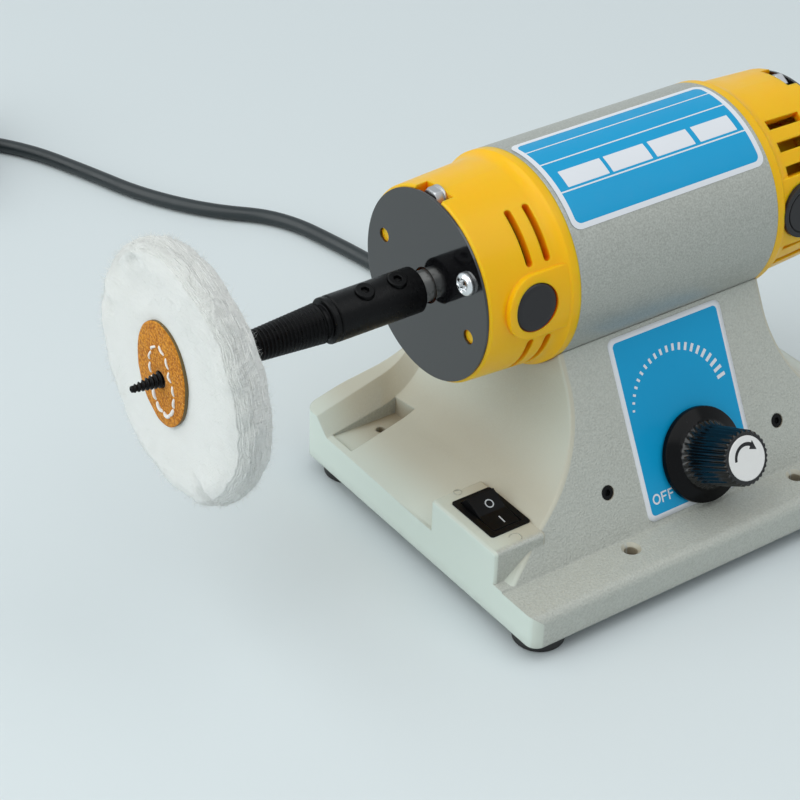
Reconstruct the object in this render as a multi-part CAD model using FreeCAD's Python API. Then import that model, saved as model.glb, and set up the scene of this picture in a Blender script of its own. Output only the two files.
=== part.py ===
import FreeCAD, Part
import math
import os

# Dental polishing lathe: a small double-ended motor on a cast base with scooped ends.
# Millimetres. While it is modelled, X runs along the motor axis, from the polishing wheel (-X)
# to the bare output shaft (+X), Y points to the back and Z up. X = 0 is the middle of the motor,
# Y = 0 its axis, and Z = 0 the surface that the feet stand on. On export everything moves by
# ORIGIN_SHIFT, so that the origin is the middle of the machine's footprint.

# ---- driving dimensions: base ---------------------------------------------------------------
BASE_LENGTH = 163.5
BASE_FRONT = 73.0            # motor axis to the front face
BASE_BACK = 51.0             # motor axis to the back face
BASE_CORNER_R = 4.0
FOOT_HEIGHT = 6.0
AXIS_HEIGHT = 88.3           # motor axis above the base's bottom edge
LEDGE_HEIGHT = 11.5
LEDGE_EDGE_R = 3.0
INNER_EDGE_R = 0.5
PANEL_FOOT = 56.7            # motor axis to the foot of the sloping panels
PANEL_TILT = 27.7            # degrees from upright
WALL = 3.5
PEDESTAL_HALF = 41.0         # half length of the pedestal's neck
TRAY_HEIGHT = 12.0
RIM_Y = 38.0                 # where the tray's back rim begins
RIM_RUN = 6.0                # length of the slope up to the rim
FLARE_EDGE_R = 1.5           # rounding where the scoops meet the front and back slopes

# Scoop sections: slope in degrees, arc radius, and height of the arc's centre above the base.
SCOOP_FRONT = (45.6, 56.4, 70.7)
SCOOP_TRAY = (11.0, 24.0, 40.3)
SCOOP_RIM = (15.0, 20.0, 44.2)
SCOOP_PAST_FRONT = 7.0       # how far the cut reaches past the casting's faces
SCOOP_PAST_BACK = 9.0
SCOOP_PAST_END = 12.0

PAD_LENGTH = 25.0
PAD_DEPTH = 11.0
PAD_INSET = 2.4              # from the end face
PAD_HEIGHT = 12.4
PAD_HOLE_R = 1.6
PAD_HOLE_X = 15.4            # from the pad's outer end
LEDGE_HOLE_X = 34.8
LEDGE_HOLE_Y = 61.25
LEDGE_HOLE_R = 2.1
LEDGE_SINK_R = 3.2
LEDGE_BOSS_R = 4.8
LEDGE_BOSS_DEPTH = 8.0
POST_R = 5.0

COVER_T = 1.5
COVER_GAP = 0.3
FOOT_R = 9.0
FOOT_TAPER = 0.8
FOOT_EDGE = 0.5
FOOT_INSET = 10.6
FOOT_SINK = 3.2
FOOT_HEAD_R = 3.0
FOOT_SCREW_R = 1.5
FOOT_SCREW_GRIP = 7.0
PAN_HEAD_T = 2.2
FIT = 0.05                   # radial play of fixed pieces that fit into each other
RUNNING_FIT = 0.06           # radial play of a pin or shaft that turns
SOFT_GAP = 0.3               # play between surfaces that move past each other

# ---- driving dimensions: switch and speed control --------------------------------------------
BOSS_LENGTH = 19.5
BOSS_FRONT = 52.5
BOSS_BACK = 19.5
BOSS_HEIGHT = 23.6
BOSS_EDGE_R = 1.2
BEZEL_X = 15.0
BEZEL_Y = 21.0
BEZEL_T = 0.5
BEZEL_CORNER_R = 1.0
BEZEL_INSET = 3.9            # from the base's end face
SWITCH_Y = 35.0
SWITCH_BODY_X = 12.9
SWITCH_BODY_Y = 19.2
SWITCH_DEPTH = 15.0
ROCKER_REACH = 8.3
ROCKER_X = 10.2
ROCKER_HALF_Y = 7.1
ROCKER_BEND = 10.0           # each half of the rocker rises this many degrees to its end
ROCKER_THROW = 15.0          # and it rests this many degrees from level
ROCKER_BELLY = 4.5
PIVOT_DEPTH = 2.6
PIVOT_R = 1.0
PIVOT_COVER = 0.2            # switch body left beyond the ends of the pivot's hole
PIVOT_END_GAP = 0.3
BLADE_INSET = 3.0            # ends of the switch body to its terminals
BLADE_X = 4.8
BLADE_T = 0.8
BLADE_LENGTH = 7.0

CONTROL_X = 1.9
CONTROL_HEIGHT = 25.8
LABEL_T = 0.3
PANEL_LABEL_HALF = 23.0
PANEL_LABEL_LOW = 1.3        # panel's foot to the label
PANEL_LABEL_HIGH = 1.4       # label to the panel's upper edge
LABEL_CORNER_R = 2.5
SKIRT_R = 15.5
SKIRT_T = 2.2
SKIRT_RISE = 1.4
KNOB_LENGTH = 23.4           # panel to the knob's front edge
KNOB_BASE_R = 9.8
KNOB_FRONT_R = 8.94
KNOB_LIFT = 0.8              # running gap under the skirt
KNOB_EDGE = 0.5              # chamfer at its front
SKIRT_EDGE = 0.6             # chamfer round the skirt
KNOB_FOOT_RUN = 0.8          # small slope between the skirt's cone and the grip
KNOB_FOOT_RISE = 0.4
KNOB_RECESS_R = 8.0
KNOB_RECESS_GAP = 0.5        # end of the recess to the bushing's end
KNOB_FLOOR = 1.0             # between the shaft's bore and the seat of the cap
FLUTES = 30
FLUTE_R = 0.6
FLUTE_OUT = 0.15             # middle of the flutes outside the grip's surface
CAP_R = 7.13
CAP_T = 1.0
CAP_STANDS = 0.3
CAP_CHAMFER = 0.2
CONTROL_SHAFT_R = 3.0
BUSHING_R = 3.7
BUSHING_LENGTH = 3.2
CONTROL_NUT_AF = 10.0
CONTROL_NUT_T = 2.0
POT_R = 12.0
POT_LENGTH = 11.0
POT_FLOOR = 2.0
POT_END_GAP = 0.3            # play at the two ends of the control's shaft
BRACKET_T = 1.5
BRACKET_HALF = 41.0
BRACKET_WIDTH = 15.0
BRACKET_CORNER_R = 2.0
BOARD_X = 46.0
BOARD_Y = 26.0
BOARD_T = 1.6
CAPACITOR_AT = (-17.0, 5.0)
CAPACITOR_R = 4.0
CAPACITOR_LENGTH = 9.0
TRIAC_AT = (17.0, -4.0)
TRIAC_X = 6.0
TRIAC_Y = 10.0
TRIAC_T = 4.5
CHOKE_AT = (13.0, 6.0)
CHOKE_R = 4.5
CHOKE_LENGTH = 6.0
PANEL_SCREW_X = 35.6
PANEL_SCREW_R = 1.5
PANEL_SCREW_HEAD_R = 2.1
PANEL_SCREW_SUNK = 0.2
PANEL_SCREW_AF = 2.0         # hexagon socket
PANEL_SCREW_SOCKET = 1.0     # its depth
PANEL_SCREW_END = 1.0        # how far the screw stands out behind
PANEL_SINK_R = 2.4
PANEL_SINK = 1.6

# ---- driving dimensions: motor ----------------------------------------------------------------
SHELL_R = 34.4
SHELL_T = 1.8
SHELL_LEFT = 40.0
SHELL_RIGHT = 39.4
SADDLE_GAP = 0.1
CAP_LENGTH = 31.6
CAP_RIM = 3.0
CAP_COVE = 4.5
COVE_SHAPE = (0.4, 0.3)      # middle of the cove, as shares of its length and height
CAP_STEP = 1.8               # shell radius to barrel radius
CAP_DRAFT = 1.2              # how much the barrel narrows to its end
CAP_WALL = 2.6
CAP_EDGE_R = 1.0
SPIGOT = 4.0
PLATE_INSET = 0.85           # cap's end radius to the plate's radius
PLATE_T = 0.8
PLATE_HOLE_R = 5.8
PLATE_SCREW_INSET = 8.5      # cap's end radius to the screws' pitch radius
PLATE_SCREW_ANGLE = 28.7
PLATE_VIEW_ANGLE = -17.0
PLATE_VIEW_R = 2.3
PLATE_SCREW_R = 1.9
PLATE_SCREW_HEAD_R = 3.7
PLATE_SCREW_GRIP = 7.0
PLATE_HEAD_TAPER = 0.7       # top radius of the head as a share of its rim's
SCREW_END_GAP = 0.5          # screw's end to the bottom of its hole
SCREW_POST_R = 3.8
TIE_INSET = 3.4              # cap's end radius to the bolts' pitch radius
TIE_ANGLE = 93.0
TIE_R = 2.0
TIE_AF = 7.0                 # across the flats of its hexagon head and nut
TIE_HEAD_T = 2.8
TIE_WASHER_R = 4.2
TIE_WASHER_T = 0.8
TIE_NUT_T = 3.0
TIE_END = 0.4                # how far the bolt stands out of its nut
TIE_NOTCH = 4.4
TIE_NOTCH_HALF = 6.5
TIE_NOTCH_GAP = 0.4          # notch floor to the bolt's washer
TIE_POST_LENGTH = 13.0
TIE_POST_WALL = 1.2
PORT_TILT = 6.5              # the brush axis above level, at the front
PLUG_FROM_SHELL = 15.9
PLUG_R = 7.75
PLUG_LIP = 1.2
PLUG_T = 3.7
PLUG_SUNK = 0.3
PORT_RAISE = 1.2             # port pads over the cap's barrel
PLUG_PAD_HALF = 10.4
BRUSH_FROM_SHELL = 11.9
BRUSH_CAP_R = 9.0
BRUSH_CAP_T = 3.2
BRUSH_CAP_SUNK = 2.4
BRUSH_PAD_HALF = 11.7
BRUSH_SLOT_W = 2.4
BRUSH_SLOT_INSET = 4.2       # cap's edge to the end of its slot
BRUSH_GROOVE_R = 7.4         # groove round the cap's middle
BRUSH_GROOVE = 0.5           # its width and depth
BRUSH_SLOT_DEPTH = 1.4
HOLDER_R = 5.6
HOLDER_INNER = 13.5
BRUSH_A = 6.0
BRUSH_B = 7.0
BRUSH_LENGTH = 10.0
SPRING_R = 2.6
SPRING_BORE_R = 1.8
LEFT_VENTS_FROM_SHELL = (9.2, 15.6)
LEFT_VENT_W = 2.4
LEFT_VENT_FROM = 24.0
LEFT_VENT_TO = 52.7
RIGHT_VENT_FROM_SHELL = 7.4
RIGHT_VENT_LENGTH = 14.5
RIGHT_VENT_W = 3.3
RIGHT_VENT_ANGLES = (23.4, 37.6, 51.6)
BEARING_R = 13.0
BEARING_WIDTH = 8.0
BEARING_SPLIT = 0.45         # where the rings part, as a share of the bearing's height
BEARING_WALL = 2.6
SHAFT_CLEAR = 3.0            # cap's opening around the shaft
CORE_HALF = 22.0
BORE_R = 17.6
AIR_GAP = 0.6
COIL_GAP = 0.8               # bore to winding
COIL_TIE_GAP = 0.8           # winding to the tie bolts
COIL_SLOT_GAP = 0.3
COIL_SLOT_ANGLE = 1.0        # degrees of play at the sides of a slot
COIL_HALF_ANGLE = 58.0
POLE_HALF_ANGLE = 36.0
COIL_OVERHANG = 8.5
MOTOR_SCREW_X = 29.0
MOTOR_SCREW_ANGLE = 24.0
MOTOR_SCREW_R = 2.0
MOTOR_SCREW_HEAD_R = 3.6
MOTOR_SCREW_GRIP = 3.1       # how far the screws reach past the shell into the core
MOTOR_BOSS_R = 4.8
MOTOR_BOSS_T = 1.2
MOTOR_LABEL_LOW_ANGLE = 38.0
MOTOR_LABEL_HIGH_ANGLE = 101.0
MOTOR_LABEL_INSET = 1.4      # shell ends to the label

# ---- driving dimensions: spindle --------------------------------------------------------------
SHAFT_R = 5.0
SHAFT_IN_SLEEVE = 13.8
MANDREL_GAP = 0.4            # shaft's end to the mandrel's, inside the sleeve
OUTPUT_R = 4.0
OUTPUT_LENGTH = 16.4         # beyond the right end plate
OUTPUT_SHOULDER = 1.0        # how far the full shaft stands out of the plate
OUTPUT_CHAMFER = 0.6
WINDING_R = 15.5
WINDING_END = 9.0
WINDING_CROWN = 1.5
COMMUTATOR_R = 11.5
COMMUTATOR_CLEAR = 1.8       # to the right bearing
FAN_TIE_GAP = 1.2            # fan's edge to the tie bolts
FAN_FROM_SHELL = 2.5
FAN_BLADE_T = 1.2
FAN_BLADE_INSET = 1.0
FAN_T = 1.6
FAN_WIDTH = 9.0
FAN_BLADES = 8
FAN_HUB_R = 8.5
SLEEVE_R = 7.25
SHAFT_SHOWS = 4.3            # end plate to sleeve
SLEEVE_LENGTH = 30.8
SLEEVE_CHAMFER = 0.8
SET_SCREWS_FROM_END = (7.9, 19.6)
SET_SCREW_ANGLE = 73.0
SET_SCREW_R = 2.0
SET_SCREW_STANDS = 0.9
SET_HEAD_R = 3.0
SET_SEAT_DEPTH = 0.8         # flat seat of its head, sunk into the sleeve
SET_SOCKET_R = 1.35
SET_SOCKET_DEPTH = 1.3
SHOULDER_R = 6.9
SHOULDER_T = 3.2
NECK_R = 5.7
NECK_T = 0.9
TAPER_BIG_R = 6.3
TAPER_SMALL_R = 2.4
TAPER_LENGTH = 54.0
TIP_LENGTH = 9.1
TIP_R = 1.2
WHEEL_R = 39.0
WHEEL_ON_TAPER = 51.9        # taper's big end to the cloth face under the front leather disc
WHEEL_HUB_T = 10.7
WHEEL_FRONT_BULGE = 0.5      # how far the loose cloth stands out past the sewn hub
WHEEL_BACK_BULGE = 1.9
WHEEL_RIM_R = 4.0
WHEEL_STEP = 1.0             # flat cloth around the leather disc
WHEEL_DISH = 6.0             # width of the slope from there to the cloth's full width
LEATHER_R = 15.3
LEATHER_T = 1.5

# ---- driving dimensions: power cord -------------------------------------------------------------
CORD_R = 2.8
BEND_SHARE = 0.45            # share of a straight run that a bend at its end takes up
RELIEF_X = 10.0
RELIEF_HEIGHT = 10.0         # above the base's bottom edge
RELIEF_FLANGE_R = 6.5
RELIEF_FLANGE_T = 2.0
RELIEF_NECK_R = 4.6
RELIEF_LENGTH = 28.0
RELIEF_ROOT_R = 5.2
RELIEF_TIP_R = 3.7
COIL_R = 33.0                # middle of the coil's turns
COIL_ACROSS = 3              # turns side by side
COIL_LAYERS = 2
COIL_X = -119.0
COIL_Y = 305.0
COIL_EDGE_R = 2.24           # rounding of the coil's section
COIL_LIFT = 0.1              # clearance of cord and coil over the surface
PLUG_WIDTH = 34.0
PLUG_HEIGHT = 13.6
PLUG_BODY = 32.0
PLUG_SHAPE = ((0.0, 0.4), (0.45, 0.94), (1.0, 1.0))   # shares of its length and width
PLUG_BEVEL = 4.08
PLUG_TAIL_WALL = 0.8         # around the cord, where it enters
PLUG_TAIL_R = 4.4
PLUG_TAIL = 12.0
PLUG_ANGLE = 15.9            # where on the coil the plug lies
PLUG_RADIUS = 28.85
PLUG_HEADING = 76.0          # which way its pins point, in degrees from +X
PIN_R = 2.0
PIN_LENGTH = 19.0
PIN_SPACING = 18.6

# Centre line of the cord, from the strain relief to the coil.
CORD_ROUTE = [
    (10.0, 79.0, 16.0),
    (10.0, 94.0, 16.0),
    (10.6, 113.0, 8.4),
    (10.5, 132.0, 3.0),
    (6.5, 157.0, 3.0),
    (-1.0, 186.0, 3.0),
    (-22.0, 204.0, 3.0),
    (-38.0, 229.0, 3.0),
    (-47.0, 257.0, 3.0),
    (-58.5, 289.0, 3.0),
    (-78.5, 316.0, 3.0),
]

# ---- places that follow from the dimensions -----------------------------------------------------
BASE_Z = FOOT_HEIGHT
LEDGE_Z = BASE_Z + LEDGE_HEIGHT
AXIS_Z = BASE_Z + AXIS_HEIGHT
HALF = BASE_LENGTH / 2
TILT = math.radians(PANEL_TILT)
SADDLE_R = SHELL_R + SADDLE_GAP
TOP_Z = AXIS_Z + SHELL_R
BORE_IN_SHELL = SHELL_R - SHELL_T
FAR = HALF + SCOOP_PAST_END
CAP_BARREL_R = SHELL_R - CAP_STEP
CAP_END_R = CAP_BARREL_R - CAP_DRAFT
PORT_PAD_R = CAP_BARREL_R + PORT_RAISE
BRUSH_SEAT_R = PORT_PAD_R - BRUSH_CAP_SUNK
PLATE_R = CAP_END_R - PLATE_INSET
PLATE_SCREW_RING_R = CAP_END_R - PLATE_SCREW_INSET
TIE_RING_R = CAP_END_R - TIE_INSET
BEARING_SPLIT_R = SHAFT_R + (BEARING_R - SHAFT_R) * BEARING_SPLIT
COIL_IN_R = BORE_R + COIL_GAP
COIL_OUT_R = TIE_RING_R - TIE_R - COIL_TIE_GAP
FAN_R = TIE_RING_R - TIE_R - FAN_TIE_GAP
MOTOR_SCREW_IN = BORE_IN_SHELL - MOTOR_SCREW_GRIP
PLUG_X = SHELL_LEFT + PLUG_FROM_SHELL
BRUSH_X = SHELL_RIGHT + BRUSH_FROM_SHELL
CAP_LEFT_END = SHELL_LEFT + CAP_LENGTH
CAP_RIGHT_END = SHELL_RIGHT + CAP_LENGTH
PLATE_LEFT_END = CAP_LEFT_END + PLATE_T
PLATE_RIGHT_END = CAP_RIGHT_END + PLATE_T
SHAFT_RIGHT_END = PLATE_RIGHT_END + OUTPUT_LENGTH
SLEEVE_RIGHT = PLATE_LEFT_END + SHAFT_SHOWS
SLEEVE_LEFT = SLEEVE_RIGHT + SLEEVE_LENGTH
SHAFT_LEFT_END = SLEEVE_RIGHT + SHAFT_IN_SLEEVE
SET_SEAT_R = SLEEVE_R - SET_SEAT_DEPTH
TAPER_START = SLEEVE_LEFT + SHOULDER_T + NECK_T
TAPER_END = TAPER_START + TAPER_LENGTH
TIP_X = TAPER_END + TIP_LENGTH
WHEEL_FACE_X = TAPER_START + WHEEL_ON_TAPER
CAVITY_R = CAP_END_R - CAP_WALL
UNDER_CAP = CAP_LENGTH - CAP_WALL
POT_BACK = -WALL - BRACKET_T - POT_LENGTH
CONTROL_BORE_END = KNOB_LENGTH - CAP_T - KNOB_FLOOR
SWITCH_X = -HALF + BEZEL_INSET + BEZEL_X / 2
BOSS_Z = BASE_Z + BOSS_HEIGHT
BEZEL_Z = BOSS_Z + BEZEL_T
PIVOT_Z = BEZEL_Z - PIVOT_DEPTH
COIL_WIDE = 2 * CORD_R * COIL_ACROSS
COIL_HIGH = 2 * CORD_R * COIL_LAYERS
RELIEF_Z = BASE_Z + RELIEF_HEIGHT
RELIEF_END = BASE_BACK + RELIEF_LENGTH

CLOSE = 0.01                 # points nearer to a surface than this lie on it
X_AXIS = FreeCAD.Vector(1, 0, 0)
Y_AXIS = FreeCAD.Vector(0, 1, 0)
Z_AXIS = FreeCAD.Vector(0, 0, 1)
ZERO = FreeCAD.Vector(0, 0, 0)


# ---- helpers --------------------------------------------------------------------------------------
def vec(x, y, z):
    return FreeCAD.Vector(x, y, z)


def rod(radius, start, end):
    """Solid cylinder between two points."""
    return Part.makeCylinder(radius, (end - start).Length, start, end - start)


def bar(radius, x_from, x_to):
    """Solid cylinder on the X axis."""
    low = min(x_from, x_to)
    return Part.makeCylinder(radius, abs(x_to - x_from), vec(low, 0, 0), X_AXIS)


def ring(outer, inner, x_from, x_to):
    """Tube on the X axis."""
    return bar(outer, x_from, x_to).cut(bar(inner, x_from, x_to))


def box(x, y, z):
    """Block between (low, high) pairs."""
    return Part.makeBox(x[1] - x[0], y[1] - y[0], z[1] - z[0], vec(x[0], y[0], z[0]))


def wire_of(start, steps, place):
    """Closed wire: a step of two numbers ends a line, one of four has an arc's middle and end."""
    edges = []
    here = place(*start)
    for step in steps + [start]:
        there = place(*step[-2:])
        if len(step) == 4:
            edges.append(Part.Arc(here, place(*step[:2]), there).toShape())
        elif (there - here).Length > 1e-6:
            edges.append(Part.LineSegment(here, there).toShape())
        here = there
    return Part.Wire(edges)


def turned(start, steps):
    """Solid of revolution about the X axis, from (x, radius) corners."""
    face = Part.Face(wire_of(start, steps, lambda x, r: vec(x, 0, r)))
    return face.revolve(ZERO, X_AXIS, 360)


def turned_z(start, steps):
    """Solid of revolution about the Z axis, from (radius, z) corners."""
    face = Part.Face(wire_of(start, steps, lambda r, z: vec(r, 0, z)))
    return face.revolve(ZERO, Z_AXIS, 360)


def sector(outer, inner, x_from, x_to, angle_from, angle_to):
    """Part of a tube on the X axis. Angles go up from the front (-Y) towards the top."""
    face = Part.Face(wire_of((x_from, inner), [(x_from, outer), (x_to, outer), (x_to, inner)],
                             lambda x, r: vec(x, -r, 0)))
    piece = face.revolve(ZERO, X_AXIS, angle_from - angle_to)
    return piece.rotate(ZERO, X_AXIS, -angle_from)


def polar(x, radius, angle):
    """Point on the motor, with the angle up from the front (-Y) towards the top."""
    turn = math.radians(angle)
    return vec(x, -radius * math.cos(turn), radius * math.sin(turn))


def rolled(shape, angle):
    """Copy of a shape turned up from the front about the motor axis."""
    copy = shape.copy()
    copy.rotate(ZERO, X_AXIS, -angle)
    return copy


def fused(shapes):
    """One solid out of several."""
    first = shapes[0]
    return first.fuse(shapes[1:]).removeSplitter()


def group(shapes):
    """Separate solids in one node."""
    return Part.makeCompound(shapes)


def mirrored_x(shape):
    return shape.mirror(ZERO, X_AXIS)


def raised(shape):
    """Puts a piece that was modelled on the X axis onto the motor axis."""
    copy = shape.copy()
    copy.translate(vec(0, 0, AXIS_Z))
    return copy


def rounded_plate(half_x, half_y, corner, z_from, z_to):
    """Flat plate about the Z axis with round corners."""
    diagonal = corner * (1 - math.sqrt(0.5))
    a, b = half_x, half_y
    steps = [(a - corner, -b), (a - diagonal, -b + diagonal, a, -b + corner),
             (a, b - corner), (a - diagonal, b - diagonal, a - corner, b),
             (-a + corner, b), (-a + diagonal, b - diagonal, -a, b - corner),
             (-a, -b + corner), (-a + diagonal, -b + diagonal, -a + corner, -b)]
    wire = wire_of((-a + corner, -b), steps, lambda x, y: vec(x, y, z_from))
    return Part.Face(wire).extrude(vec(0, 0, z_to - z_from))


def hexagon(across_flats, z_from, z_to):
    corner = across_flats / math.sqrt(3)
    points = [vec(corner * math.cos(math.radians(60 * i)), corner * math.sin(math.radians(60 * i)), z_from)
              for i in range(7)]
    return Part.Face(Part.makePolygon(points)).extrude(vec(0, 0, z_to - z_from))


def panel_y(height):
    """Front panel's Y at a height above the base's bottom edge."""
    return -PANEL_FOOT + (height - LEDGE_HEIGHT) * math.tan(TILT)


def on_panel(shape, x, height):
    """Moves a piece modelled about Z, with Z = 0 on the panel's face, to its place on the panel."""
    copy = shape.copy()
    copy.rotate(ZERO, X_AXIS, 90 - PANEL_TILT)
    copy.translate(vec(x, panel_y(height), BASE_Z + height))
    return copy


# ---- base casting ---------------------------------------------------------------------------------
def seam(inset):
    """Front corner between the sloping panel and the saddle, with both set in by a wall."""
    slope = math.tan(TILT)
    radius = SADDLE_R + inset
    at_axis = -PANEL_FOOT + inset / math.cos(TILT) + (AXIS_HEIGHT - LEDGE_HEIGHT) * slope
    root = math.sqrt((at_axis * slope) ** 2 - (1 + slope ** 2) * (at_axis ** 2 - radius ** 2))
    drop = (-at_axis * slope - root) / (1 + slope ** 2)
    return at_axis + drop * slope, AXIS_Z + drop


def pedestal(inset, bottom):
    """Solid of the base's long profile, drawn in YZ, with every wall set in by the same distance."""
    slope = math.tan(TILT)
    shift = inset / math.cos(TILT)
    front = -BASE_FRONT + inset
    back = BASE_BACK - inset
    ledge = LEDGE_Z - inset
    foot = -PANEL_FOOT + shift - inset * slope
    seam_y, seam_z = seam(inset)
    knee = LEDGE_Z + (PANEL_FOOT - shift - back) / slope
    edge = LEDGE_EDGE_R if inset == 0 else INNER_EDGE_R
    bend = edge * (1 - math.sqrt(0.5))
    steps = [(front, ledge - edge), (front + bend, ledge - bend, front + edge, ledge), (foot, ledge),
             (seam_y, seam_z), (0, AXIS_Z - SADDLE_R - inset, -seam_y, seam_z), (back, knee), (back, bottom)]
    half = HALF - inset
    wire = wire_of((front, bottom), steps, lambda y, z: vec(-half, y, z))
    return Part.Face(wire).extrude(vec(2 * half, 0, 0))


def scoop_section(y, section, inset):
    """Wire in XZ around the space above the left tray: flat, slope, arc and upright neck."""
    angle, radius, centre = section
    turn = math.radians(angle)
    reach = radius + inset
    centre_x = -PEDESTAL_HALF - radius
    centre_z = BASE_Z + centre
    floor = BASE_Z + TRAY_HEIGHT - inset
    arc_x = centre_x + reach * math.sin(turn)
    arc_z = centre_z - reach * math.cos(turn)
    flat_x = arc_x - (arc_z - floor) / math.tan(turn)
    middle = (math.radians(90) + turn) / 2
    neck = centre_x + reach
    steps = [(flat_x, floor), (arc_x, arc_z),
             (centre_x + reach * math.sin(middle), centre_z - reach * math.cos(middle), neck, centre_z),
             (neck, TOP_Z), (-FAR, TOP_Z)]
    return wire_of((-FAR, floor), steps, lambda x, z: vec(x, y, z))


def scoop(inset):
    """Space that is cut from the casting's left end."""
    sections = [scoop_section(-BASE_FRONT - inset - SCOOP_PAST_FRONT, SCOOP_FRONT, inset),
                scoop_section(RIM_Y, SCOOP_TRAY, inset),
                scoop_section(RIM_Y + RIM_RUN, SCOOP_RIM, inset),
                scoop_section(BASE_BACK + SCOOP_PAST_BACK, SCOOP_RIM, inset)]
    return Part.makeLoft(sections, True, True)


def foot_places():
    return [vec(side * (HALF - FOOT_INSET), y, 0)
            for side in (-1, 1) for y in (-BASE_FRONT + FOOT_INSET, BASE_BACK - FOOT_INSET)]


def pad(below, grow):
    """Block of the left tray's flat landing, cut down from above or left standing inside."""
    x_out = -HALF + PAD_INSET
    return box((x_out - grow, x_out + PAD_LENGTH + grow), (RIM_Y - PAD_DEPTH - grow, RIM_Y + grow),
               (below, TOP_Z))


def motor_screw(radius, inner, outer):
    """The four radial screws, or their holes, under the motor."""
    return [rod(radius, polar(x, inner, -90 + turn), polar(x, outer, -90 + turn))
            for x in (-MOTOR_SCREW_X, MOTOR_SCREW_X) for turn in (-MOTOR_SCREW_ANGLE, MOTOR_SCREW_ANGLE)]


def flare_edges(body):
    """Curved edges where the scoops cut the front panel and the back slope."""
    found = []
    for edge in body.Edges:
        middle = edge.CenterOfMass
        span = edge.LastParameter - edge.FirstParameter
        points = [edge.valueAt(edge.FirstParameter + span * share) for share in (0, 0.5, 1)]
        on_slope = all(abs(abs(p.y) + panel_y(p.z - BASE_Z)) < CLOSE for p in points)
        above_tray = max(p.z for p in points) > LEDGE_Z + LEDGE_EDGE_R
        if on_slope and above_tray and abs(middle.x) > PEDESTAL_HALF / 2:
            found.append(edge)
    return found


def base_casting():
    footprint = rounded_plate(HALF, (BASE_FRONT + BASE_BACK) / 2, BASE_CORNER_R, BASE_Z, TOP_Z)
    footprint.translate(vec(0, (BASE_BACK - BASE_FRONT) / 2, 0))
    body = pedestal(0, BASE_Z).common(footprint)
    body = body.cut([scoop(0), mirrored_x(scoop(0))])
    body = body.makeFillet(FLARE_EDGE_R, flare_edges(body))
    landing = pad(BASE_Z + PAD_HEIGHT, 0)
    body = body.cut([landing, mirrored_x(landing)])
    boss = box((-HALF, -HALF + BOSS_LENGTH), (-BOSS_FRONT, -BOSS_BACK), (LEDGE_Z - WALL, BOSS_Z))
    sharp = [e for e in boss.Edges if e.CenterOfMass.z > LEDGE_Z - WALL + CLOSE]
    boss = boss.makeFillet(BOSS_EDGE_R, sharp)
    body = body.fuse(boss)

    hollow = pedestal(WALL, BASE_Z - 1)
    keep = [scoop(WALL), mirrored_x(scoop(WALL))]
    support = pad(BASE_Z + PAD_HEIGHT - WALL, WALL)
    keep += [support, mirrored_x(support)]
    post_floor = BASE_Z + COVER_T
    for place in foot_places():
        keep.append(rod(POST_R, place + vec(0, 0, post_floor), place + vec(0, 0, TOP_Z)))
    for side in (-1, 1):
        top = vec(side * LEDGE_HOLE_X, -LEDGE_HOLE_Y, LEDGE_Z)
        keep.append(rod(LEDGE_BOSS_R, top - vec(0, 0, LEDGE_BOSS_DEPTH), top))
    keep += [raised(s) for s in motor_screw(MOTOR_BOSS_R, SHELL_R, SADDLE_R + WALL + MOTOR_BOSS_T)]
    hollow = hollow.cut(keep)
    body = body.cut(hollow)

    holes = []
    for place in foot_places():
        holes.append(rod(FOOT_SCREW_R + FIT, place + vec(0, 0, BASE_Z - 1),
                         place + vec(0, 0, post_floor + FOOT_SCREW_GRIP + FIT)))
    for side in (-1, 1):
        top = vec(side * LEDGE_HOLE_X, -LEDGE_HOLE_Y, LEDGE_Z)
        holes.append(rod(LEDGE_HOLE_R, top - vec(0, 0, LEDGE_BOSS_DEPTH + 1), top + vec(0, 0, 1)))
        depth = LEDGE_SINK_R - LEDGE_HOLE_R
        holes.append(Part.makeCone(LEDGE_HOLE_R, LEDGE_SINK_R, depth, top - vec(0, 0, depth)))
        pad_x = side * (HALF - PAD_INSET - PAD_HOLE_X)
        holes.append(rod(PAD_HOLE_R, vec(pad_x, RIM_Y - PAD_DEPTH / 2, BASE_Z),
                         vec(pad_x, RIM_Y - PAD_DEPTH / 2, LEDGE_Z + LEDGE_HEIGHT)))
        screw_hole = rod(PANEL_SCREW_R + FIT, vec(0, 0, -2 * WALL), vec(0, 0, 1))
        sink = rod(PANEL_SINK_R, vec(0, 0, -PANEL_SINK), vec(0, 0, 1))
        holes.append(on_panel(screw_hole.fuse(sink), side * PANEL_SCREW_X, CONTROL_HEIGHT))
    bushing = rod(BUSHING_R + FIT, vec(0, 0, -2 * WALL), vec(0, 0, 1))
    holes.append(on_panel(bushing, CONTROL_X, CONTROL_HEIGHT))
    outer = SHELL_R + 2 * WALL + MOTOR_BOSS_T
    holes += [raised(s) for s in motor_screw(MOTOR_SCREW_R + FIT, SHELL_R - 1, outer)]
    holes.append(box((SWITCH_X - SWITCH_BODY_X / 2 - FIT, SWITCH_X + SWITCH_BODY_X / 2 + FIT),
                     (-SWITCH_Y - SWITCH_BODY_Y / 2 - FIT, -SWITCH_Y + SWITCH_BODY_Y / 2 + FIT),
                     (BASE_Z + COVER_T, TOP_Z)))
    holes.append(box((SWITCH_X - BEZEL_X / 2, SWITCH_X + BEZEL_X / 2),
                     (-SWITCH_Y - BEZEL_Y / 2, -SWITCH_Y + BEZEL_Y / 2), (BOSS_Z, TOP_Z)))
    holes.append(rod(RELIEF_NECK_R + FIT, vec(RELIEF_X, BASE_BACK - 2 * WALL, RELIEF_Z),
                     vec(RELIEF_X, BASE_BACK + 1, RELIEF_Z)))
    return body.cut(holes).removeSplitter()


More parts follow.
